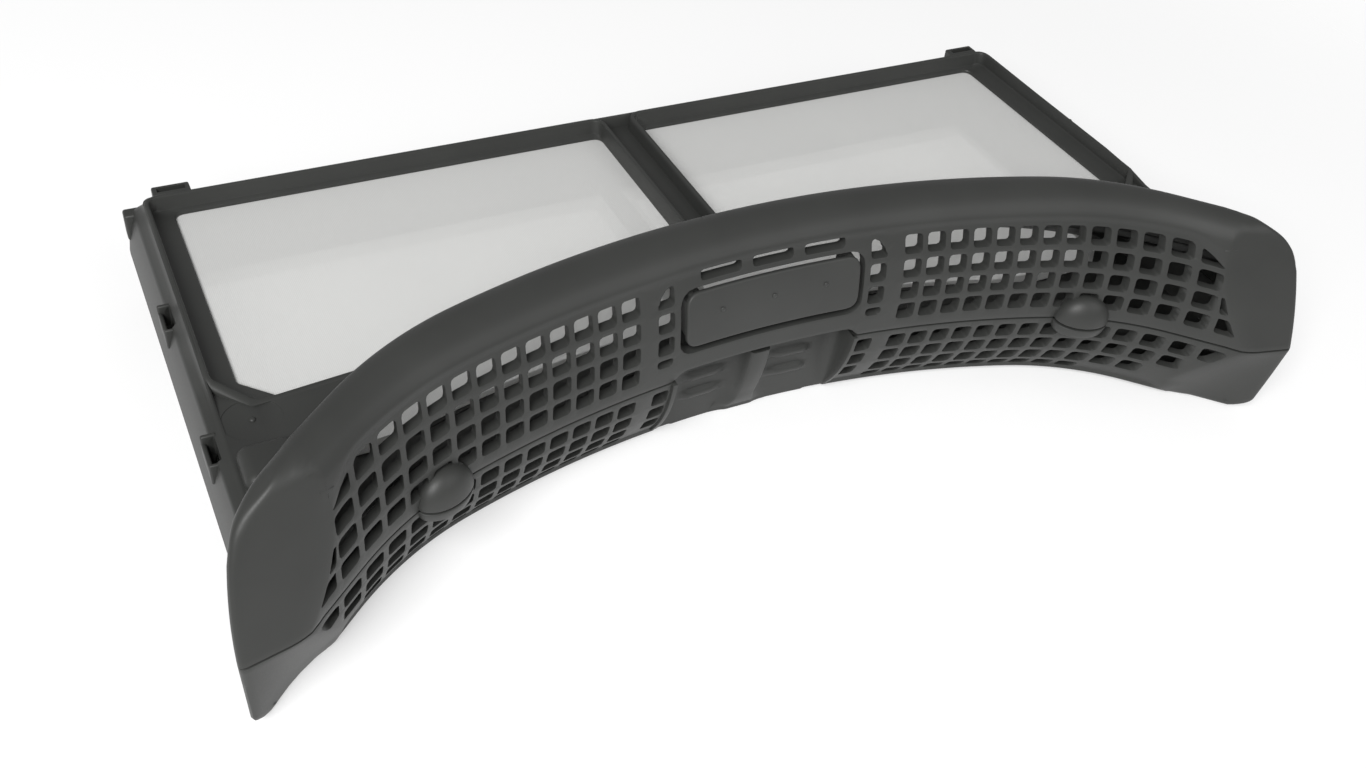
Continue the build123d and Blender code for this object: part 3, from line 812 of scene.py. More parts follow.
    def column_x(self, index: int, rise: float) -> float:
        """Give the place of a column at a height, with the last holes cut back to the ridge.

        Args:
            index: Column from the middle.
            rise: Height from the seam.

        Returns:
            Place across.
        """
        nominal = self.columns()
        limit = min(self.ridge(rise) - self.hole_margin, self.last_hole)
        x = nominal[index]
        per_hole = 5
        for first in (len(nominal) - 2 * per_hole, len(nominal) - per_hole):
            if index >= first:
                final = first + per_hole - 1
                left, right = nominal[first], nominal[final]
                before = self.column_x(first - 1, rise)
                room_left = min(left, before + self.bar_share * (limit - before))
                room_right = min(right, max(limit, room_left + self.hole_least))
                share = (nominal[min(index, final)] - left) / (right - left)
                x = room_left + (room_right - room_left) * share
        return x

    def row_count(self) -> int:
        """Give the number of rows from the seam on the front to the seam on the rear."""
        return 2 * len(self.front_rows()) + len(self.crest())

    def over(self, depth: float) -> float:
        """Give the height of the crest at a depth.

        Args:
            depth: Depth behind the front.

        Returns:
            Rise in millimetres.
        """
        last = self.front_rows()[-1]
        line = [(self.curve_in(last), last)] + self.crest() + [(self.head.depth, last)]
        for (d0, z0), (d1, z1) in zip(line, line[1:]):
            if depth <= d1:
                return z0 + (z1 - z0) * max(depth - d0, 0.0) / max(d1 - d0, 1e-6)
        return last

    def meet(self, x: float) -> float:
        """Find the depth at which the flat end runs out of the crest.

        Args:
            x: Place across.

        Returns:
            Depth behind the front, or that of the last row on the front where the end stays below the crest.
        """
        low, high = self.curve_in(self.front_rows()[-1]), self.head.depth
        shift = self.head.bow(x)
        if shift + low >= self.panel(x, self.over(low)):
            return low
        return search(low, high, lambda depth: shift + depth < self.panel(x, self.over(depth)))[1]

    def section(self, row: int, x: float) -> Flat:
        """Give depth and height of a row at a place across, before the outer edge is rounded.

        Args:
            row: Row from the seam on the front, over the crest, to the seam on the rear.
            x: Place across.

        Returns:
            Depth and rise, the bow of the head included.
        """
        front, crest = self.front_rows(), self.crest()
        shift = self.head.bow(x)
        if row >= len(front) + len(crest):
            return shift + self.head.depth, front[self.row_count() - 1 - row]
        if row < len(front):
            rise = self.warp(x, front[row])
            return self.face(x, rise), rise
        step, middle = row - len(front), len(crest) // 2
        depth, rise = crest[step]
        start, cut = self.curve_in(front[-1]), self.meet(x)
        if cut <= max(start, depth if cut < crest[middle][0] else 0.0):
            return shift + depth, rise
        if step < middle:
            share = (depth - start) / (cut - start) if cut < crest[middle][0] else (step + 1) / (middle + 1)
            rise = front[-1] + (self.over(cut) - front[-1]) * share
            return self.panel(x, rise), rise
        share = (depth - crest[middle][0]) / (self.head.depth - crest[middle][0])
        depth = cut + (self.head.depth - cut) * share
        return shift + depth, self.over(depth)

    def face(self, x: float, rise: float) -> float:
        """Give the depth of the front at a place, with the step round the holes and the flat end.

        Args:
            x: Place across.
            rise: Height from the seam.

        Returns:
            Depth, the bow of the head included.
        """
        lie = self.head.bow(x) + self.curve_in(rise) + self.step * self.set_in(x, rise)
        if x < self.flat_from:
            return lie
        fade = ease((abs(self.rows[-1]) - abs(rise)) / self.ridge_fade)
        blend = self.ridge_least + (self.ridge_blend - self.ridge_least) * fade
        return smooth_max(lie, self.panel(x, rise), blend)

    def outer_x(self, row: int) -> float:
        """Find the outer end of a row.

        Args:
            row: Row of the sheet.

        Returns:
            Place across.
        """
        end = self.edge_x(self.section(row, self.head.half - 8.0)[1])
        for _ in range(6):
            lie, rise = self.section(row, end)
            edge = self.edge_x(rise)
            end = edge - self.head.side_slope * max(lie - self.panel(edge, rise), 0.0)
        return end

    def build_sheet(self) -> list[Obj]:
        """Model the front, edge and rear as one sheet, and each end as a second one.

        Returns:
            The three sheets.
        """
        nominal = self.columns()
        steps = self.head.end_steps
        half = len(nominal) + len(steps)
        front, crest, marks = self.front_rows(), self.crest(), self.row_marks()
        rows = self.row_count()
        lowest, highest = self.height_range
        heights = [min(max(self.section(row, 0.0)[1], lowest), highest) for row in range(rows)]
        ridges = [self.ridge(height) for height in heights]
        outers = [self.outer_x(row) for row in range(rows)]
        across = [[self.column_x(index, height) for index in range(len(nominal))] for height in heights]
        done: dict[tuple[int, int], Point] = {}

        def point(column: int, row: int) -> Point:
            """Give a crossing of the sheet, mirrored on the left.

            Args:
                column: Column from the left.
                row: Row of the sheet.

            Returns:
                The place in millimetres.
            """
            index = abs(column - half + 1)
            if (index, row) not in done:
                done[index, row] = place(index, row)
            x, lie, rise = done[index, row]
            return self.head.place(x if column >= half - 1 else -x, lie, rise)

        def place(index: int, row: int) -> Point:
            """Put a crossing of the right side in place.

            Args:
                index: Column from the middle.
                row: Row of the sheet.

            Returns:
                Place across, depth and rise.
            """
            if index >= len(nominal):
                share = steps[index - len(nominal)]
                x = ridges[row] + (outers[row] - ridges[row]) * share
                return (x, *self.round_edge(row, x, outers[row] - x))
            if row >= len(front):
                return (across[row][index], *self.section(row, across[row][index]))
            x, rise = crossing(index, row)
            cells = [(i, j) for i in (-1, 0) for j in (-1, 0)
                     if 0 < row + j and hole(max(index + i, 0), row + j)]
            if len(cells) == 1 and not self.own_corners[0] < x < self.own_corners[1]:
                i, j = cells[0]
                x += self.round_share * (crossing(index + 2 * i + 1, row)[0] - x)
                rise += self.round_share * (crossing(index, row + 2 * j + 1)[1] - rise)
            return x, self.face(x, rise), rise

        def crossing(index: int, row: int) -> Flat:
            """Give a crossing on the front before holes are rounded.

            Args:
                index: Column from the middle.
                row: Row of the sheet.

            Returns:
                Place across and rise.
            """
            x = across[row][index]
            if x < self.head.first_hole - self.head.hole / 2:
                return self.nudge(x, marks[row], front[row])
            return x, self.warp(x, front[row])

        def hole(index: int, row: int) -> bool:
            """Tell whether a cell of the right side is open."""
            inside = row < len(front) - 1 + len(crest) and index < len(nominal) - 1
            return inside and self.is_open((nominal[index] + nominal[index + 1]) / 2, self.main_cell(row))

        def keep(column: int, row: int) -> bool:
            """Tell whether a cell stays.

            Args:
                column: Column from the left.
                row: Row of the sheet.

            Returns:
                False for holes and for the open part of the rear.
            """
            index = column - half + 1
            index = index if index >= 0 else -index - 1
            if row < len(front) - 1 + len(crest) and index < len(nominal) - 1:
                return not hole(index, row)
            if row >= len(front) + len(crest):
                return abs(front[rows - 1 - row]) > abs(self.rear_end) + 0.01 or index >= half - 2
            return True

        sheets = [Bench.grid(self.name, 2 * half - 1, rows, point, keep)]
        last = len(front) + self.cap_rows
        for column in (0, 2 * half - 2):
            line = [Vector(point(column, row)) for row in range(last, rows - last)]
            parts = [(place - line[0]).length / (line[-1] - line[0]).length for place in line]

            def cap(step: int, row: int, column: int = column, parts: list[float] = parts) -> Point:
                """Give a crossing of the sheet that closes an end.

                Args:
                    step: Place from the front to the rear.
                    row: Row of the main sheet.
                    column: Outermost column of the main sheet.
                    parts: Share of the way at each step.

                Returns:
                    The place in millimetres.
                """
                if row == last:
                    return point(column, last + step)
                first, final = Vector(point(column, row)), Vector(point(column, rows - 1 - row))
                return tuple(first.lerp(final, min(parts[step], 1.0)))

            sheets.append(Bench.grid(self.name, len(line), last + 1, cap))
        return sheets

    def round_edge(self, row: int, x: float, left: float) -> Flat:
        """Give a point of the section, drawn in where the outer edge is round.

        Args:
            row: Row of the sheet.
            x: Place across.
            left: Distance to the outer edge.

        Returns:
            Depth and rise.
        """
        lie, rise = self.section(row, x)
        room = abs(self.section(self.row_count() - 1 - row, x)[0] - lie)
        radius = min(self.edge_round, self.edge_share * room)
        if left >= radius:
            return lie, rise
        bite = radius - math.sqrt(max(radius ** 2 - (radius - max(left, 0.0)) ** 2, 0.0))
        before = self.section(max(row - 1, 0), x)
        after = self.section(min(row + 1, self.row_count() - 1), x)
        along = Vector((after[0] - before[0], after[1] - before[1])).normalized()
        way = along * math.copysign(bite, self.rear_end)
        return lie + way.y, rise - way.x

    def warp(self, x: float, rise: float) -> float:
        """Give the height of a front row at a place across, bent where the holes end in a round corner."""
        return rise

    def set_in(self, x: float, rise: float) -> float:
        """Give how far the perforated front is set back from its surround."""
        return ease((self.ridge(rise) - x + self.step_gap) / self.step_blend)

    def domes(self, low: float, high: float) -> list[Obj]:
        """Model the thumb domes on the seam.

        Args:
            low: Lowest height kept.
            high: Highest height kept.

        Returns:
            One dome for each side.
        """
        pieces = []
        for side in Side:
            x = side.value * self.dome_x
            dome = Bench.ball("dome", (0, 0, 0), self.dome_radii, 48)
            for height, inner, outer in ((low, True, False), (high, False, True)):
                Bench.pick_faces(dome, lambda face: True)
                bpy.ops.mesh.bisect(plane_co=(0, 0, height * MM), plane_no=(0, 0, 1), use_fill=True,
                                    clear_inner=inner, clear_outer=outer)
                bpy.ops.object.mode_set(mode="OBJECT")
            Bench.bevel(dome, self.dome_edge, 3, 50)
            turn = self.head.turn(x)
            base = Vector(self.head.place(x, self.head.bow(x) + self.step, 0))

            def lay(px: float, py: float, pz: float, base: Vector = base, turn: float = turn) -> Point:
                """Turn a point of the dome to the front and set it on the seam."""
                return (base.x + px * math.cos(turn) + py * math.sin(turn),
                        base.y - px * math.sin(turn) + py * math.cos(turn), base.z + pz)

            pieces.append(Bench.shift(dome, lay))
        return pieces

    def thicken(self, obj: Obj) -> None:
        """Give the sheet its wall: straight back behind the front, square to the surface elsewhere.

        Args:
            obj: Welded sheet.
        """
        count = len(obj.data.vertices)
        flats = [(v.co / MM, v.normal.copy()) for v in obj.data.vertices]
        Bench.apply(obj, "SOLIDIFY", thickness=self.wall * MM, offset=-1.0)
        for index, (place, normal) in enumerate(flats):
            if normal.y < -self.front_facing and abs(place.x) < self.edge_x(0) - self.end_wall:
                vertex = obj.data.vertices[count + index]
                straight = Vector((place.x, place.y + self.pull, place.z)) * MM
                share = ease((-normal.y - self.front_facing) / self.front_blend)
                vertex.co = vertex.co.lerp(straight, share)
        obj.data.update()

    def soften(self, obj: Obj) -> None:
        """Smooth the outer corners, where the band, the flat end and the outer edge run together.

        Args:
            obj: The half, still a thin sheet.
        """
        for rise, turns in self.soft_turns:
            start, low = self.soft_from * MM, (self.head.seam + rise) * MM
            Bench.pick_faces(obj, lambda face: abs(face.center.x) > start and face.center.z > low)
            bpy.ops.mesh.vertices_smooth(factor=0.5, repeat=turns)
            bpy.ops.object.mode_set(mode="OBJECT")

    def extras(self) -> list[Obj]:
        """Model what stands on this half."""
        raise NotImplementedError

    def build(self) -> Obj:
        """Model, dress and place the half.

        Returns:
            The finished half.
        """
        obj = Bench.join(self.name, self.build_sheet())
        Bench.pick_faces(obj, lambda face: True)
        bpy.ops.mesh.remove_doubles(threshold=0.00001)
        bpy.ops.mesh.normals_make_consistent(inside=False)
        bpy.ops.object.mode_set(mode="OBJECT")
        front = max(obj.data.polygons, key=lambda face: abs(face.normal.y) * face.area).center.y + 0.01
        if sum(face.normal.y * face.area for face in obj.data.polygons if face.center.y < front) > 0:
            Bench.turn_faces(obj)
        self.soften(obj)
        self.thicken(obj)
        Bench.bevel(obj, self.edge_bevel, 2, 52)
        obj = Bench.join(self.name, [obj] + self.extras())
        return Bench.dress(obj, 50, self.finish, self.body, "head", *self.nodes)


@dataclass
class UpperCover(Cover):
    """Upper half of the head, with the window, the slots and the thumb domes."""

    name: str = "upper_cover"
    nodes: tuple[str, ...] = ("upper_grille",)
    body: str = Leaf.UPPER.value
    lean: float = 0.405
    side_curve: float = 300.0
    top_curve: float = 14.0
    top_from: float = 36.0
    band_top: float = 49.29
    band_middle: float = 21.6
    band_curve: float = 0.037
    lone_cut: float = 0.16
    lone_cut_from: float = 39.6
    lone_cut_reach: float = 5.6
    lone_cut_end: float = 52.0
    fall: float = 0.0485
    fall_from: float = 155.0
    fall_reach: float = 11.4
    fall_end: float = 192.0
    band_gap: float = 4.5
    band_blend: float = 3.5
    rows: tuple[float, ...] = (0.45, 2.3, 5.5, 9.0, 12.5, 14.5, 18.0, 21.5, 23.5, 27.0, 30.5, 32.5, 36.0,
                               39.5, 41.3, 43.0)
    middle_rows: tuple[float, ...] = (0.45, 2.3, 4.2, 8.0, 11.5, 14.0, 17.0, 21.5, 23.5, 27.0, 30.9, 33.9,
                                      36.4, 38.05, 40.1, 42.15)
    hole_rows: tuple[int, ...] = (2, 5, 8, 11)
    slot_marks: tuple[float, ...] = (13.6, 14.4)

    def crest(self) -> list[Flat]:
        """Give depth and rise of the rows over the top band.

        Returns:
            Depth and rise of each row, from the front to the rear.
        """
        last, back = self.rows[-1], self.head.depth
        front = curve((self.curve_in(last), last), (11.3, 45.1), (14.5, 47.5), (0.25, 0.5, 0.75, 1.0))
        band = [(self.band_middle + way, self.band_top - self.band_curve * way * way)
                for way in (-4.6, -2.3, 0.0, 2.3, 4.6)]
        rear = curve((28.7, 47.48), (back, 46.2), (back, last), (0.0, 0.25, 0.5, 0.75))
        return front + band + rear

    def panel(self, x: float, rise: float) -> float:
        """Give the depth of the flat end, which leans back."""
        return -self.head.tip + self.head.panel_slope * (self.head.half - x) + self.lean * rise

    def edge_x(self, rise: float) -> float:
        """Give the outer edge of the end, which rounds in toward the top."""
        corner = max(rise - self.top_from, 0.0) ** 2 / self.top_curve
        return self.head.half - rise * rise / self.side_curve - corner

    def is_open(self, x: float, row: int) -> bool:
        """Tell whether the cell at a place and row is the notch, the window, a slot or a hole.

        Args:
            x: Place across.
            row: Main row.

        Returns:
            True for an open cell.
        """
        holes = self.open_rows()
        if x < self.head.window:
            slot, left, right = self.head.slots
            in_slot = x < slot or left < x < right
            return row in (0, 1) or 4 <= row <= 11 or (in_slot and row in (13, 14))
        if self.is_lone(x):
            return row in holes[1:]
        number = self.hole_number(x)
        return number is not None and row in (holes[:4] if number == self.head.holes - 1 else holes)

    def nudge(self, x: float, mark: float, rise: float) -> Flat:
        """Move crossings near the middle onto the round corners of the notch and the window.

        Args:
            x: Place across.
            mark: Row, as a place between the main rows.
            rise: Height of the row elsewhere.

        Returns:
            Place across and rise.
        """
        side, bent, corner = self.head.window, self.head.window_bend, self.head.window_corner
        notch = {(side, 0): (38.0, 0.45), (side, 1): (37.0, 1.6), (side, 2): (35.4, 3.0),
                 (bent, 2): (33.6, 3.95)}
        if (x, mark) in notch:
            return notch[x, mark]
        if x > side:
            reach = min(max(x - self.lone_cut_from, 0.0), self.lone_cut_reach)
            cut = self.lone_cut * reach ** 2 * ease((self.lone_cut_end - x) / 6.0)
            return x, self.bend(rise, self.rows[13] - cut)
        low, high = min(max(6.0 - mark, 0.0), 2.0), min(max(mark - 10.0, 0.0), 2.0)
        turns = {side: 22.5 * high - 22.5 * low, bent: 67.5, side - corner: 90.0}
        on_side = x == side and (4 <= mark <= 6 or 10 <= mark <= 12)
        if on_side or (x in turns and mark in (4, 12)):
            turn = math.radians(turns[x] if x == side else math.copysign(turns[x], mark - 8))
            middle = self.middle_rows[6 if mark < 8 else 10]
            return side - corner + corner * math.cos(turn), middle + corner * math.sin(turn)
        return x, between(self.middle_rows, mark)

    def bend(self, rise: float, top: float) -> float:
        """Give the height of a row where the highest holes end lower.

        Args:
            rise: Height of the row elsewhere.
            top: Top of the highest hole here.

        Returns:
            Height of the row here.
        """
        low, high, last = self.rows[11], self.rows[13], self.rows[15]
        if rise <= low:
            return rise
        if rise <= high:
            return low + (rise - low) * (top - low) / (high - low)
        return top + (rise - high) * (last - top) / (last - high)

    def corner(self, x: float) -> float:
        """Give the top of the field of holes, which falls toward the ends."""
        reach = min(max(x - self.fall_from, 0.0), self.fall_reach)
        return self.rows[13] - self.fall * reach ** 2 * ease((self.fall_end - x) / 20.0)

    def warp(self, x: float, rise: float) -> float:
        """Bend the rows above the third hole down toward the round corner."""
        return self.bend(rise, self.corner(x))

    def set_in(self, x: float, rise: float) -> float:
        """Give the set-back of the front, which also ends below the top band."""
        return super().set_in(x, rise) * ease((self.corner(x) + self.band_gap - rise) / self.band_blend)

    def extras(self) -> list[Obj]:
        """Model the upper thumb domes."""
        return self.domes(self.head.gap, 20.0)


@dataclass
class LowerCover(Cover):
    """Lower half of the head, with the finger recess and the lips under the domes."""

    name: str = "lower_cover"
    nodes: tuple[str, ...] = ("lower_grille_left", "lower_grille_right", "finger_recess")
    body: str = Leaf.LOWER.value
    barrel: float = 66.0
    rear_end: float = -22.0
    cap_rows: int = 3
    rows: tuple[float, ...] = (-0.45, -2.9, -6.4, -9.9, -11.9, -15.4, -18.9, -20.9, -24.4, -27.9, -29.8,
                               -32.0, -34.2)
    hole_rows: tuple[int, ...] = (1, 4, 7, 10)
    end_slope: float = 0.95
    foot_slope: float = 0.35
    foot_start: Flat = (165.0, 36.6)
    foot_blend: float = 6.0
    side_lean: float = 0.036
    row_limits: tuple[int, ...] = (14, 13, 12, 10)
    recess_depth: float = 12.0
    recess_wall: float = 1.6
    recess_rim: float = 10.6
    recess_rim_out: float = 6.0
    rib_half: float = 10.4
    foot_from: float = 24.0
    bar_ends: Flat = (9.0, 27.2)
    bar_places: Flat = (-13.0, -22.5)
    bar_half: float = 2.1
    bar_height: float = 1.9

    def crest(self) -> list[Flat]:
        """Give depth and rise of the rows under the foot.

        Returns:
            Depth and rise of each row, from the front to the rear.
        """
        last, back, foot = self.rows[-1], self.head.depth, -self.head.seam
        heel = curve((self.curve_in(last), last), (11.3, foot), (15.5, foot), (0.25, 0.5, 0.75, 1.0))
        sole = [(18.0 + 2.5 * step, foot) for step in range(5)]
        rear = curve((29.8, foot), (back, foot), (back, last), (0.0, 0.3, 0.55, 0.8))
        return heel + sole + rear

    def panel(self, x: float, rise: float) -> float:
        """Give the depth of the end, which twists from the seam to its foot.

        Args:
            x: Place across.
            rise: Height from the seam.

        Returns:
            Depth in millimetres.
        """
        top = -self.head.tip + self.head.panel_slope * (self.head.half - x)
        end = self.end_slope * (x - self.head.half) + self.head.tip
        foot = self.foot_slope * (x - self.foot_start[0]) + self.foot_start[1]
        low = -smooth_max(end, foot, self.foot_blend)
        share = min(-rise / self.head.seam, 1.0)
        return top + (low - top) * share

    def edge_x(self, rise: float) -> float:
        """Give the outer edge of the end, which leans in toward its foot."""
        return self.head.half + self.side_lean * rise - max(-rise - 30.0, 0.0) ** 2 / 10.0

    def is_open(self, x: float, row: int) -> bool:
        """Tell whether the cell at a place and row is the recess or a hole.

        Args:
            x: Place across.
            row: Main row.

        Returns:
            True for an open cell.
        """
        if x < self.head.window:
            return row < len(self.rows) + 1
        holes = self.open_rows()
        if self.is_lone(x):
            return row in holes[:6]
        number = self.hole_number(x)
        if number is None:
            return False
        rows_open = sum(number < limit for limit in self.row_limits)
        return row in holes[:2 * rows_open]

    def nudge(self, x: float, mark: float, rise: float) -> Flat:
        """Leave the crossings of this half where they are."""
        return x, rise

    def heel(self, rise: float) -> float:
        """Give the depth of the front at a height, round the heel too.

        Args:
            rise: Height from the seam.

        Returns:
            Depth in millimetres.
        """
        line = [(self.curve_in(self.rows[-1]), self.rows[-1])] + self.crest()
        for (d0, z0), (d1, z1) in zip(line, line[1:]):
            if z1 < rise <= z0:
                return d0 + (d1 - d0) * (z0 - rise) / (z0 - z1)
        return self.curve_in(rise)

    def pocket(self) -> list[Obj]:
        """Model the finger recess: round walls with grip bars, drawn forward to a rib in the middle.

        Returns:
            The recess.
        """
        side = [(36.25, 0.0), (36.25, 0.25), (36.2, 0.5), (36.0, 0.72), (35.2, 0.88), (33.8, 0.97),
                (31.6, 1.0)]
        wall = [(x, 1.0) for x in (28.0, 26.6, 25.2, 23.8, 22.4, 19.0, 14.0, self.rib_half)]
        rib = [(8.2, 0.97), (6.4, 0.87), (5.2, 0.72), (4.4, 0.55), (3.9, 0.4), (3.5, 0.33), (2.9, 0.3),
               (0.0, 0.29)]
        across = side + wall + rib
        rises = [-0.45 - 0.6 * step for step in range(62)] + [-37.4]

        def back(column: int, row: int) -> Point:
            """Give a crossing of the recess.

            Args:
                column: Column from the left.
                row: Row from the seam down.

            Returns:
                The place in millimetres.
            """
            index = min(column, 2 * len(across) - 2 - column)
            x, share = across[index]
            rise = rises[row]
            foot = ease((-rise - self.foot_from) / 13.0)
            if x < self.rib_half:
                x *= 1.0 + 0.5 * foot * foot
                share -= 0.25 * foot * (1.0 - share)
            face = min(self.heel(rise), self.recess_rim + self.recess_rim_out * ease((x - 29.0) / 6.0)) + 0.25
            bar = sum(math.sqrt(max(1.0 - ((rise - y) / self.bar_half) ** 2, 0.0)) for y in self.bar_places)
            bar *= ease((self.bar_ends[1] - x) / 4.0) * ease((x - self.bar_ends[0]) / 3.0)
            depth = face + max(self.recess_depth - face, 0.0) * share - self.bar_height * bar
            return self.head.place(-x if column < len(across) else x, self.head.bow(x) + depth, rise)

        sheet = Bench.grid("recess", 2 * len(across) - 1, len(rises), back)
        if sum(face.normal.y for face in sheet.data.polygons) < 0:
            Bench.turn_faces(sheet)
        Bench.apply(sheet, "SOLIDIFY", thickness=self.recess_wall * MM, offset=1.0)
        Bench.weld(sheet)
        Bench.bevel(sheet, 0.3, 2, 60)
        return [sheet]

    def extras(self) -> list[Obj]:
        """Model the lips under the domes and the finger recess."""
        return self.domes(-4.5, -self.head.gap) + self.pocket()


@dataclass
class ReleasePlate:
    """Rocking plate in the window of the upper half, with its webs and trunnions behind."""

    head: Head
    finish: bpy.types.Material
    half: float = 34.3
    low: float = 14.8
    high: float = 35.4
    corner: float = 4.5
    wall: float = 2.4
    barrel: float = 96.0
    set_back: float = 0.35
    edge: float = 0.9
    mark_places: Point = (-20.5, 0.0, 20.5)
    mark_rise: float = 27.0
    mark_radii: Point = (1.0, 0.55, 1.0)
    web_x: float = 31.7
    web_half: float = 1.0
    flange_x: float = 33.2
    flange_wall: float = 1.4
    trunnion: float = 2.0
    trunnion_length: float = 6.0
    trunnion_depth: float = 15.0
    trunnion_rise: float = 34.0

    def face(self, x: float, rise: float) -> Point:
        """Give the front of the plate at a place."""
        depth = self.barrel - math.sqrt(self.barrel ** 2 - rise * rise)
        return self.head.place(x, self.head.bow(x) + depth + self.set_back, rise)

    def shell(self) -> Obj:
        """Model the plate itself, with round corners.

        Returns:
            The plate without its mounts.
        """
        span = [0.0, 6.0, 12.0, 18.0, 24.0, 29.8, 32.2, self.half]
        span = [-x for x in reversed(span[1:])] + span
        rises = [self.low, 16.9, 19.3, 22.0, 25.1, 28.0, 30.9, 33.3, self.high]
        arcs = {(0, 2): 0.0, (0, 1): 22.5, (0, 0): 45.0, (1, 0): 67.5, (2, 0): 90.0}

        def point(column: int, row: int) -> Point:
            """Give a crossing of the sheet, moved onto the round of the corner where it is near one.

            Args:
                column: Column of the sheet.
                row: Row of the sheet.

            Returns:
                The place in millimetres.
            """
            x, rise = span[column], rises[row]
            key = (min(column, len(span) - 1 - column), min(row, len(rises) - 1 - row))
            if key in arcs:
                turn = math.radians(arcs[key])
                x = math.copysign(self.half - self.corner + self.corner * math.cos(turn), x)
                middle = self.low + self.corner if row < 4 else self.high - self.corner
                rise = middle + math.copysign(self.corner * math.sin(turn), rise - middle)
            return self.face(x, rise)

        plate = Bench.grid("plate", len(span), len(rises), point)
        Bench.apply(plate, "SOLIDIFY", thickness=self.wall * MM, offset=-1.0)
        Bench.weld(plate)
        Bench.bevel(plate, self.edge, 4, 50)
        return plate

    def mount(self, side: Side) -> list[Obj]:
        """Model the web, the flange and the trunnion of one side.

        Args:
            side: Left or right.

        Returns:
            The three parts.
        """
        x = side.value * self.web_x
        base = self.head.place(x, self.head.bow(x), 0)
        web = Bench.block("web", (x - self.web_half, base[1] + 6.4, base[2] + 27.0),
                          (x + self.web_half, base[1] + 16.5, base[2] + self.trunnion_rise), 0.4)

        def wing(column: int, row: int) -> Point:
            """Give a crossing of the flange."""
            place = self.face(side.value * self.flange_x, 18.6 + 13.0 * row / 12)
            return place[0], place[1] + 1.2 + 3.5 * column, place[2]

        flange = Bench.grid("flange", 3, 13, wing)
        Bench.apply(flange, "SOLIDIFY", thickness=self.flange_wall * MM, offset=0.0)
        Bench.weld(flange)
        middle = (x + side.value * self.trunnion_length / 2, self.head.front + self.trunnion_depth,
                  self.head.seam + self.trunnion_rise)
        return [web, flange, Bench.rod("trunnion", middle, self.trunnion, self.trunnion_length, 0.3, 32)]

    def build(self) -> Obj:
        """Model, dress and place the plate.

        Returns:
            The finished plate.
        """
        parts = [self.shell()]
        for x in self.mark_places:
            parts.append(Bench.ball("mark", self.face(x, self.mark_rise), self.mark_radii, 16))
        for side in Side:
            parts += self.mount(side)
        obj = Bench.join("release_plate_shell", parts)
        return Bench.dress(obj, 38, self.finish, "release_plate", "button", "release_button")


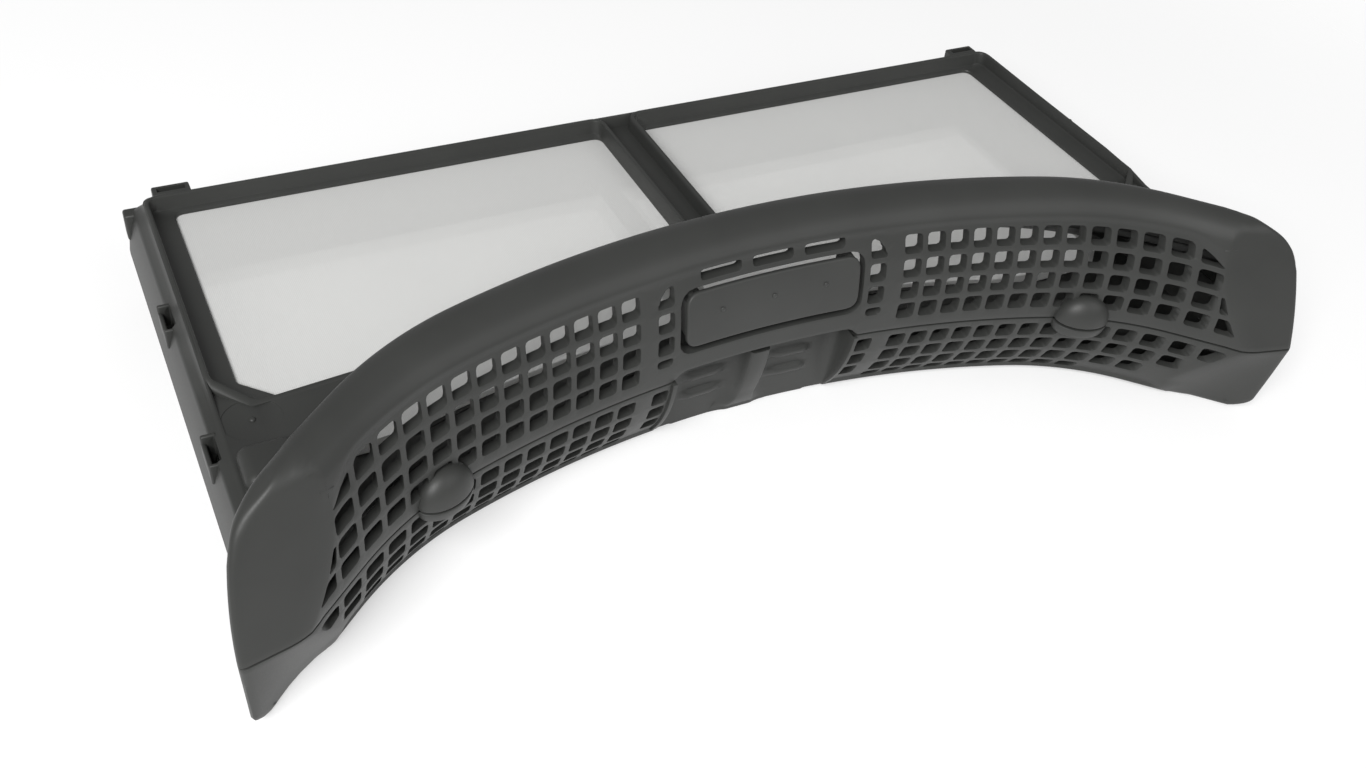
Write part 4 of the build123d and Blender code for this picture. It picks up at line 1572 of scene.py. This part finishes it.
@dataclass
class Tray:
    """Frame of one leaf: rims round two bays, deck, drafted skirt, plateaus, neck and hinge parts.

    Modelled flat, with x across, w from the head to the hinge and h out of the leaf.
    """

    head: Head
    leaf: Leaf
    finish: bpy.types.Material
    rim: float = 8.0
    tilt: float = 6.7
    rise: float = 15.15
    bay_in: float = 7.6
    bay_out: float = 177.7
    bay_far: float = 136.4
    bay_near: float = 23.5
    bay_bow: float = 47.6
    bay_cut: float = 11.5
    side_ledge: float = 7.8
    far_ledge: float = 1.8
    near_ledge: float = 1.5
    hinge_w: float = 148.0
    pin: float = 2.2
    clip_places: tuple[float, ...] = (5.5, 74.0)
    bay_round: float = 4.0
    cut_round: float = 3.5
    rim_base: float = 2.9
    rim_fall: float = 4.4
    rim_fall_from: float = 37.0
    rim_fall_over: float = 14.0
    skirt_near: float = 29.0
    deck_half: float = 189.0
    deck_far: float = 142.6
    deck_near: float = 28.6
    deck_levels: Flat = (0.3, 2.0)
    mouth_near: float = 44.2
    mouth_half: float = 150.0
    plateau_ends: Flat = (108.0, 187.3)
    plateau_near: float = 32.4
    plateau_back: float = 11.8
    plateau_back_from: float = 160.0
    gate: Flat = (177.5, 13.8)
    gate_radius: float = 9.5
    gate_depth: float = 0.7
    neck_half: float = 187.5
    neck_wall: Flat = (27.0, 29.3)
    upper_neck: tuple[Flat, ...] = ((27.0, 32.0), (29.3, 32.0), (29.3, 28.8), (45.0, 13.1), (45.0, 10.3),
                                    (44.0, 10.3), (27.0, 28.1))
    slot_ends: Flat = (189.7, 192.5)
    slot_half: float = 5.4
    boss_ends: Flat = (168.0, 186.2)
    boss_round: float = 4.2
    tab_ends: Flat = (184.0, 194.7)
    hood_walls: tuple[tuple[float, ...], ...] = (
        (192.4, 193.9, -6.6, 6.8, 0.8), (189.0, 193.9, 5.4, 7.0, 3.3), (189.4, 193.9, -6.8, -5.4, 2.2))
    hood_foot: float = -5.5
    tongue_ends: Flat = (190.2, 192.1)
    tongue_half: float = 4.5
    loop_ends: Flat = (169.8, 183.3)
    cheek_wall: float = 2.4
    arm: float = 4.2
    pin_length: float = 12.6
    eye_ends: Flat = (172.7, 180.4)
    eye: float = 3.88
    eye_bore: float = 2.28
    lap: float = 2.5
    sag: float = 0.9
    ripple: float = 0.12
    mesh_level: float = -0.2
    mesh_wall: float = 0.25

    def drop(self) -> float:
        """Give the distance from the mesh to the plane between the leaves."""
        return self.rise * math.cos(math.radians(self.tilt))

    def place(self, x: float, w: float, h: float) -> Point:
        """Turn leaf measures into a place in the frame.

        Args:
            x: Place across.
            w: Place from the head to the hinge.
            h: Height out of the leaf.

        Returns:
            The place in millimetres.
        """
        if self.leaf is Leaf.LOWER:
            h = -2 * self.drop() - h
        tilt = math.radians(self.tilt)
        return (x, self.head.front + w * math.cos(tilt) + h * math.sin(tilt),
                self.head.seam + self.rise - w * math.sin(tilt) + h * math.cos(tilt))

    def near_w(self, x: float, depth: float) -> float:
        """Give the place along the leaf of a line that runs parallel to the head."""
        return (self.head.bow(x) + depth) / math.cos(math.radians(self.tilt))

    def bay(self, share: float, extra: float, side: Side) -> list[Flat]:
        """Give the outline of a bay, grown over its ledge and past it.

        Args:
            share: Part of the ledge that is taken in.
            extra: Growth past the ledge, on every side.
            side: Left or right bay.

        Returns:
            Points of the outline.
        """
        x_in = self.bay_in - extra
        x_out = self.bay_out + self.side_ledge * share + extra
        far = self.bay_far + self.far_ledge * share + extra
        near = self.bay_near - self.near_ledge * share - extra
        depth = self.bay_bow - self.near_ledge * share - extra
        low = search(20.0, 150.0, lambda x: self.near_w(x, depth) > near, 30)[0]
        bend = [x_in + (low - x_in) * step / 12 for step in range(13)]
        line = [(x, self.near_w(x, depth)) for x in bend]
        radius, cut = self.bay_round + extra, self.bay_cut
        corners = rounded([(low, near, 0.01), (x_out - cut, near, self.cut_round),
                           (x_out, near + cut, self.cut_round), (x_out, far, radius), (x_in, far, radius),
                           (x_in, line[0][1], radius * 0.6)], 6)
        outline = corners[7:] + line[2:12]
        return [(side.value * x, w) for x, w in outline]

    def flatten(self, w: float, h: float) -> float:
        """Give a height on the rim, which runs down toward the plateaus.

        Args:
            w: Place along the leaf.
            h: Height far from the head.

        Returns:
            Height here.
        """
        base = self.rim_base
        if h <= base:
            return h
        limit = self.rim - self.rim_fall * ease((self.rim_fall_from - w) / self.rim_fall_over)
        return base + (h - base) * (limit - base) / (self.rim - base)

    def rims(self) -> list[Obj]:
        """Model the ledge and rim round each bay.

        Returns:
            One ring for each bay.
        """
        top = self.rim
        profile = [(0.0, 0.0, 0.0), (0.0, 0.0, 0.8), (0.05, 0.0, 1.25), (0.86, 0.0, 2.0), (1.0, 0.0, 2.7),
                   (1.0, 0.12, top - 0.9), (1.0, 0.4, top - 0.28), (1.0, 0.95, top), (1.0, 1.5, top - 0.12),
                   (1.0, 1.95, top - 0.6), (1.0, 2.3, top - 1.6), (1.0, 2.5, 1.6), (1.0, 2.5, 0.0)]
        rings = []
        for side in Side:
            loops = [[self.place(x, w, self.flatten(w, h)) for x, w in self.bay(share, extra, side)]
                     for share, extra, h in profile]
            rings.append(Bench.loft("rim", loops))
        return rings

    def wrap(self, half: float, far: float, radius: float) -> list[Flat]:
        """Give the line round the sides and far edge of the leaf, open toward the head.

        Args:
            half: Half width.
            far: Far edge.
            radius: Radius of the two far corners.

        Returns:
            Points from the near left to the near right.
        """
        near = self.near_w(half, self.skirt_near)
        right = [(half, near + (far - radius - near) * step / 10) for step in range(11)]
        right += curve((half, far - radius), (half, far), (half - radius, far),
                       [step / 8 for step in range(1, 9)])
        right += [((half - radius) * (1 - step / 6), far) for step in range(1, 7)]
        return [(-x, w) for x, w in right] + [(x, w) for x, w in reversed(right[:-1])]

    def skirt(self) -> Obj:
        """Model the outer side, from the rim down over the flange to the edge that meets the other leaf.

        Returns:
            The skirt.
        """
        top, foot = self.rim, -self.drop() + 0.12
        profile = [(186.4, 139.2, top - 1.4, 4.5), (187.0, 139.8, top - 0.4, 4.5),
                   (187.6, 140.3, top - 0.8, 4.5), (188.0, 140.7, top - 2.2, 4.5),
                   (188.6, 141.3, top - 3.3, 4.0), (190.6, 143.1, 2.5, 3.4),
                   (191.2, 143.6, 1.8, 3.2), (191.5, 143.8, 1.0, 3.0), (192.5, 143.9, -2.0, 3.0),
                   (193.8, 143.9, -7.0, 2.6), (195.0, 143.6, foot + 0.4, 2.6), (194.7, 143.3, foot, 2.6),
                   (192.8, 141.4, foot, 2.4), (192.4, 141.0, foot + 0.4, 2.4), (188.6, 140.6, 0.4, 2.4),
                   (186.4, 139.2, 0.4, 2.4)]
        rings = [[self.place(x, w, self.flatten(w, h)) for x, w in self.wrap(half, far, radius)]
                 for half, far, h, radius in profile]
        skirt = Bench.loft("skirt", rings, round_way=False)
        if self.leaf is Leaf.UPPER:
            slots = []
            for side in Side:
                low, high = ends(side, *self.slot_ends)
                for middle in self.clip_places:
                    slot = Bench.block("slot", (low, middle - self.slot_half, -17.0),
                                       (high, middle + self.slot_half, 9.0), 0.5)
                    slots.append(Bench.shift(slot, self.place))
            Bench.cut(skirt, Bench.join("slots", slots))
        return skirt

    def deck(self) -> Obj:
        """Model the plate between the rims and round them.

        Returns:
            The deck.
        """
        half, steps = self.deck_half, 40
        across = [half - 2 * half * step / steps for step in range(1, steps)]
        mouth = self.mouth_near if self.leaf is Leaf.UPPER else self.deck_near
        outer = self.wrap(half, self.deck_far, 8.0)
        outer += [(x, self.near_w(x, mouth if abs(x) < self.mouth_half else self.deck_near)) for x in across]
        outlines = [outer] + [self.bay(1.0, 1.2, side) for side in Side]
        low, high = self.deck_levels
        lift = Vector(self.place(0, 0, high)) - Vector(self.place(0, 0, low))
        loops = [[self.place(x, w, low) for x, w in line] for line in outlines]
        return Bench.slab("deck", loops, tuple(lift))

    def plateaus(self) -> list[Obj]:
        """Model the raised corners between the bays and the head, each with its round gate mark.

        Returns:
            The two plateaus.
        """
        pieces = []
        inner, outer = self.plateau_ends
        top = self.flatten(0.0, self.rim) - 0.2
        setback = self.plateau_back if self.leaf is Leaf.UPPER else 0.0
        along = [outer - (outer - inner) * step / 16 for step in range(17)]
        for side in Side:
            rim = [p for p in self.bay(1.0, 1.1, side) if p[1] < 38.0 and abs(p[0]) > inner]
            rim.sort(key=lambda p: (abs(p[0]), p[1]))
            rear = [(side.value * x, self.near_w(x, self.plateau_near + setback * ease(
                (self.plateau_back_from - x) / 10.0))) for x in along]
            flat = [(x, w, 1.0) for x, w in rim + [(side.value * outer, 34.0)] + rear]
            slab = Bench.slab("plateau", [flat], (0, 0, top - 1.0))
            x, w = side.value * self.gate[0], self.gate[1]
            Bench.take()
            bpy.ops.mesh.primitive_cylinder_add(vertices=64, radius=self.gate_radius * MM,
                                                depth=self.gate_depth * MM, location=Vector((x, w, top)) * MM)
            Bench.cut(slab, bpy.context.object)
            Bench.bevel(slab, 0.5, 2, 40)
            pieces.append(Bench.shift(slab, self.place))
            gate = Bench.ball("gate", (x, w, top - 0.3), (1.1, 1.1, 0.77), 20)
            pieces.append(Bench.shift(gate, self.place))
            if self.leaf is Leaf.UPPER:
                low, high = ends(side, *self.boss_ends)
                boss = Bench.block("boss", (low, -18.0, -4.0), (high, 0.5, top + 4.4), self.boss_round, 7)
                pieces.append(Bench.shift(boss, self.place))
        return pieces

    def neck(self) -> Obj:
        """Model the wall that stands in the head behind its rear.

        Returns:
            The neck.
        """
        steps, half = 48, self.neck_half
        near, far = self.neck_wall
        rings = []
        for step in range(steps + 1):
            x = -half + 2 * half * step / steps
            shape = self.upper_neck
            if self.leaf is Leaf.LOWER:
                leaf_z = self.place(x, self.near_w(x, 28.0), 0.0)[2] - self.head.seam
                shape = ((near, -30.0), (far, -30.0), (far, leaf_z), (near, leaf_z))
            rings.append([self.head.place(x, self.head.bow(x) + depth, rise) for depth, rise in shape])
        neck = Bench.loft("neck", rings, tube=False)
        Bench.bevel(neck, 0.5, 2, 50)
        return neck

    def cheek(self, start: float, wall: float, shape: Sequence[Flat]) -> Obj:
        """Model a flat plate that stands across the leaf.

        Args:
            start: Place across of its first side.
            wall: Thickness across.
            shape: Outline in w and h.

        Returns:
            The plate, on the leaf.
        """
        plate = Bench.slab("cheek", [[(start, w, h) for w, h in shape]], (wall, 0, 0))
        Bench.bevel(plate, 0.4, 2, 40)
        return Bench.shift(plate, self.place)

    def round_arm(self, radius: float, foot: Sequence[Flat]) -> list[Flat]:
        """Give the outline of an arm that ends round the hinge.

        Args:
            radius: Radius at the hinge.
            foot: The two corners at its other end.

        Returns:
            Points in w and h.
        """
        centre = Vector((self.hinge_w, -self.drop()))
        leans = []
        for corner, sign in zip(foot, (1.0, -1.0)):
            way = centre - Vector(corner)
            leans.append(math.atan2(way.y, way.x) - sign * math.acos(radius / way.length) + math.pi)
        last, first = leans
        while last < first:
            last += 2 * math.pi
        turns = [first + (last - first) * step / 20 for step in range(21)]
        return [*[(centre.x + radius * math.cos(turn), centre.y + radius * math.sin(turn)) for turn in turns],
                *foot]

    def hinge(self) -> list[Obj]:
        """Model the hinge: loops with pins on the upper leaf, eyes on the lower one.

        Returns:
            The hinge parts.
        """
        parts = []
        level = -self.drop()
        for side in Side:
            if self.leaf is Leaf.UPPER:
                low, high = ends(side, *self.loop_ends)
                loop = Bench.block("loop", (low, 139.6, -3.5), (high, 145.6, self.rim), 0.7)
                Bench.pocket(loop, 1.0, 9.0)
                parts.append(Bench.shift(loop, self.place))
                for start in (low, high - self.cheek_wall):
                    outline = self.round_arm(self.arm, [(140.2, 2.0), (144.6, 2.0)])
                    parts.append(self.cheek(start, self.cheek_wall, outline))
                middle = self.place((low + high) / 2, self.hinge_w, level)
                parts.append(Bench.rod("pin", middle, self.pin, self.pin_length, 0.4))
            else:
                low, high = ends(side, *self.eye_ends)
                outline = self.round_arm(self.eye, [(141.2, level + 5.0), (141.2, level + 12.0)])
                turns = [math.radians(15 * step) for step in range(24)]
                bore = [(self.hinge_w + self.eye_bore * math.cos(turn),
                         level + self.eye_bore * math.sin(turn)) for turn in turns]
                eye = Bench.slab("eye", [[(low, w, h) for w, h in line] for line in (outline, bore)],
                                 (high - low, 0, 0))
                Bench.bevel(eye, 0.3, 2, 40)
                parts.append(Bench.shift(eye, self.place))
        return parts

    def clips(self) -> list[Obj]:
        """Model the side clips: hoods on the upper leaf and the tongues that they take on the lower one.

        Returns:
            The clips.
        """
        parts = []
        for side in Side:
            if self.leaf is Leaf.UPPER:
                low, high = ends(side, *self.tab_ends)
                parts.append(Bench.block("tab", (low, 138.6, -9.0), (high, 144.2, 1.9), 1.0))
            for middle in self.clip_places:
                if self.leaf is Leaf.UPPER:
                    for x0, x1, w0, w1, top in self.hood_walls:
                        low, high = ends(side, x0, x1)
                        parts.append(Bench.block("hood", (low, middle + w0, self.hood_foot),
                                                 (high, middle + w1, top), 0.65))
                else:
                    low, high = ends(side, *self.tongue_ends)
                    near, far = middle - self.tongue_half, middle + self.tongue_half
                    parts.append(Bench.block("tongue", (low, near, -2 * self.drop() + 7.0),
                                             (high, far, -self.drop() + 4.0), 0.5))
        return [Bench.shift(part, self.place) for part in parts]

    def build(self) -> Obj:
        """Model, dress and place the frame.

        Returns:
            The finished frame.
        """
        parts = [*self.rims(), self.skirt(), self.deck(), self.neck(), *self.plateaus(), *self.hinge(),
                 *self.clips()]
        node = "upper_frame" if self.leaf is Leaf.UPPER else "lower_frame"
        obj = Bench.join(node + "_shell", parts)
        return Bench.dress(obj, 36, self.finish, self.leaf.value, "frame", node)

    def mesh(self, side: Side, finish: bpy.types.Material) -> Obj:
        """Model one mesh panel, stretched under the deck with a slight sag.

        Args:
            side: Left or right bay.
            finish: Material of the mesh.

        Returns:
            The finished panel.
        """
        lap = self.lap
        x_in, x_out = self.bay_in - lap, self.bay_out + lap
        far, near = self.bay_far + lap, self.bay_near - lap
        columns, rows, strips = 57, 41, 200
        width = x_out - x_in

        def edge(x: float) -> float:
            """Give the near edge, along the bow and the cut corner."""
            low = max(near, self.near_w(x, self.bay_bow - lap))
            return max(low, near + x - (x_out - self.bay_cut))

        def point(column: int, row: int) -> Point:
            """Give a crossing of the sheet, with its sag and ripple.

            Args:
                column: Column of the sheet.
                row: Row of the sheet.

            Returns:
                The place in millimetres.
            """
            u, v = column / (columns - 1), row / (rows - 1)
            x = x_in + width * u
            w = edge(x) + (far - edge(x)) * v
            loose = math.sin(math.pi * u) * math.sin(math.pi * v)
            ripple = self.ripple * math.sin(19 * u + 3 * v)
            return self.place(side.value * x, w, self.mesh_level + (ripple - self.sag) * loose)

        half = "upper" if self.leaf is Leaf.UPPER else "lower"
        word = "left" if side is Side.LEFT else "right"
        obj = Bench.grid(f"{half}_mesh_{word}_cloth", columns, rows, point)
        Bench.apply(obj, "SOLIDIFY", thickness=self.mesh_wall * MM, offset=0.0)
        Bench.weld(obj)
        Bench.dress(obj, 60, finish, self.leaf.value, "mesh", f"{half}_mesh_{word}")
        lengths = [far - edge(x_in + width * (strip + 0.5) / strips) for strip in range(strips)]
        return obj


@dataclass
class Studio:
    """Pale floor, soft lights and the camera that took the picture."""

    camera_place: Point = (-0.218989, -0.327182, 0.390009)
    camera_turn: Point = (43.165397, -7.39163, -25.42085)
    lens: float = 36.8258
    tone: float = 0.6
    glow: float = 0.4
    fade: Flat = (0.26, 0.62)
    room: float = 0.3
    aim: Point = (0.0, 0.0, 0.04)
    lamps: tuple[tuple[str, Point, float, float], ...] = (
        ("key", (-0.85, -0.75, 1.2), 0.8, 27.0), ("fill", (0.7, -0.8, 0.9), 1.0, 4.0))

    def floor(self) -> None:
        """Lay the floor, which takes the shadow, glows a little and fades out round the filter."""
        Bench.take()
        bpy.ops.mesh.primitive_plane_add(size=12, location=(0, 0, -0.0005))
        floor = bpy.context.object
        floor.name = "floor"
        material = bpy.data.materials.new("floor")
        wires = Wiring(material)
        shader = wires.put(wires.tree.nodes["Principled BSDF"], {
            "Base Color": (self.tone, self.tone, self.tone, 1), "Roughness": 0.95, "Specular IOR Level": 0.0,
            "Emission Color": (1, 1, 1, 1), "Emission Strength": self.glow})
        place = wires.add("TexCoord")
        reach = wires.add("VectorMath")
        reach.operation = "LENGTH"
        fade = wires.add("MapRange", {"From Min": self.fade[0], "From Max": self.fade[1],
                                      "To Min": 1.0, "To Max": 0.0})
        fade.interpolation_type = "SMOOTHSTEP"
        wires.link(place, "Object", (reach, 0))
        wires.link(reach, "Value", (fade, "Value"))
        wires.link(fade, "Result", (shader, "Alpha"))
        floor.data.materials.append(material)

    def world(self) -> None:
        """Light the room evenly, white to the camera."""
        world = bpy.data.worlds.new("room")
        bpy.context.scene.world = world
        wires = Wiring(world)
        back = wires.put(wires.tree.nodes["Background"], {"Color": (1, 1, 1, 1)})
        path = wires.add("LightPath")
        level = wires.add("MapRange", {"To Min": self.room, "To Max": 1.0})
        wires.link(path, "Is Camera Ray", (level, "Value"))
        wires.link(level, "Result", (back, "Strength"))

    def light(self, name: str, place: Point, size: float, power: float) -> None:
        """Add a square lamp that points at the filter.

        Args:
            name: Name of the lamp.
            place: Where it hangs.
            size: Length of its side.
            power: Power in watts.
        """
        Bench.take()
        bpy.ops.object.light_add(type="AREA", location=place)
        lamp = bpy.context.object
        lamp.name = name
        lamp.data.size = size
        lamp.data.energy = power
        lamp.rotation_euler = (Vector(self.aim) - Vector(place)).to_track_quat("-Z", "Y").to_euler()

    def camera(self) -> None:
        """Set up the camera."""
        Bench.take()
        bpy.ops.object.camera_add(location=self.camera_place,
                                  rotation=[math.radians(turn) for turn in self.camera_turn])
        camera = bpy.context.object
        camera.data.lens = self.lens
        camera.data.sensor_width = 36.0
        camera.data.sensor_fit = "HORIZONTAL"
        camera.data.clip_start = 0.01
        bpy.context.scene.camera = camera

    def build(self) -> None:
        """Set up floor, lights and camera."""
        self.floor()
        self.world()
        for lamp in self.lamps:
            self.light(*lamp)
        self.camera()
        bpy.context.scene.view_settings.view_transform = "Standard"


def main() -> None:
    """Build the whole scene."""
    logging.basicConfig(level=logging.INFO)
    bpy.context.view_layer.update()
    head = Head()
    head_finish = Moulding("head plastic", (0.036, 0.037, 0.035)).build()
    frame_finish = Moulding("frame plastic", (0.034, 0.035, 0.033)).build()
    plate_finish = Moulding("plate plastic", (0.039, 0.04, 0.038), roughness=0.48).build()
    mesh_finish = Weave("filter mesh", (0.86, 0.865, 0.84)).build()
    pieces = [UpperCover(head, head_finish).build(), LowerCover(head, head_finish).build(),
              ReleasePlate(head, plate_finish).build()]
    for leaf in Leaf:
        tray = Tray(head, leaf, frame_finish, rim=8.0 if leaf is Leaf.UPPER else 6.2)
        pieces.append(tray.build())
        pieces += [tray.mesh(side, mesh_finish) for side in Side]
    for piece in pieces:
        LOG.info("built %s with %d faces", piece.name, len(piece.data.polygons))
    Studio().build()


if __name__ == "__main__":
    main()
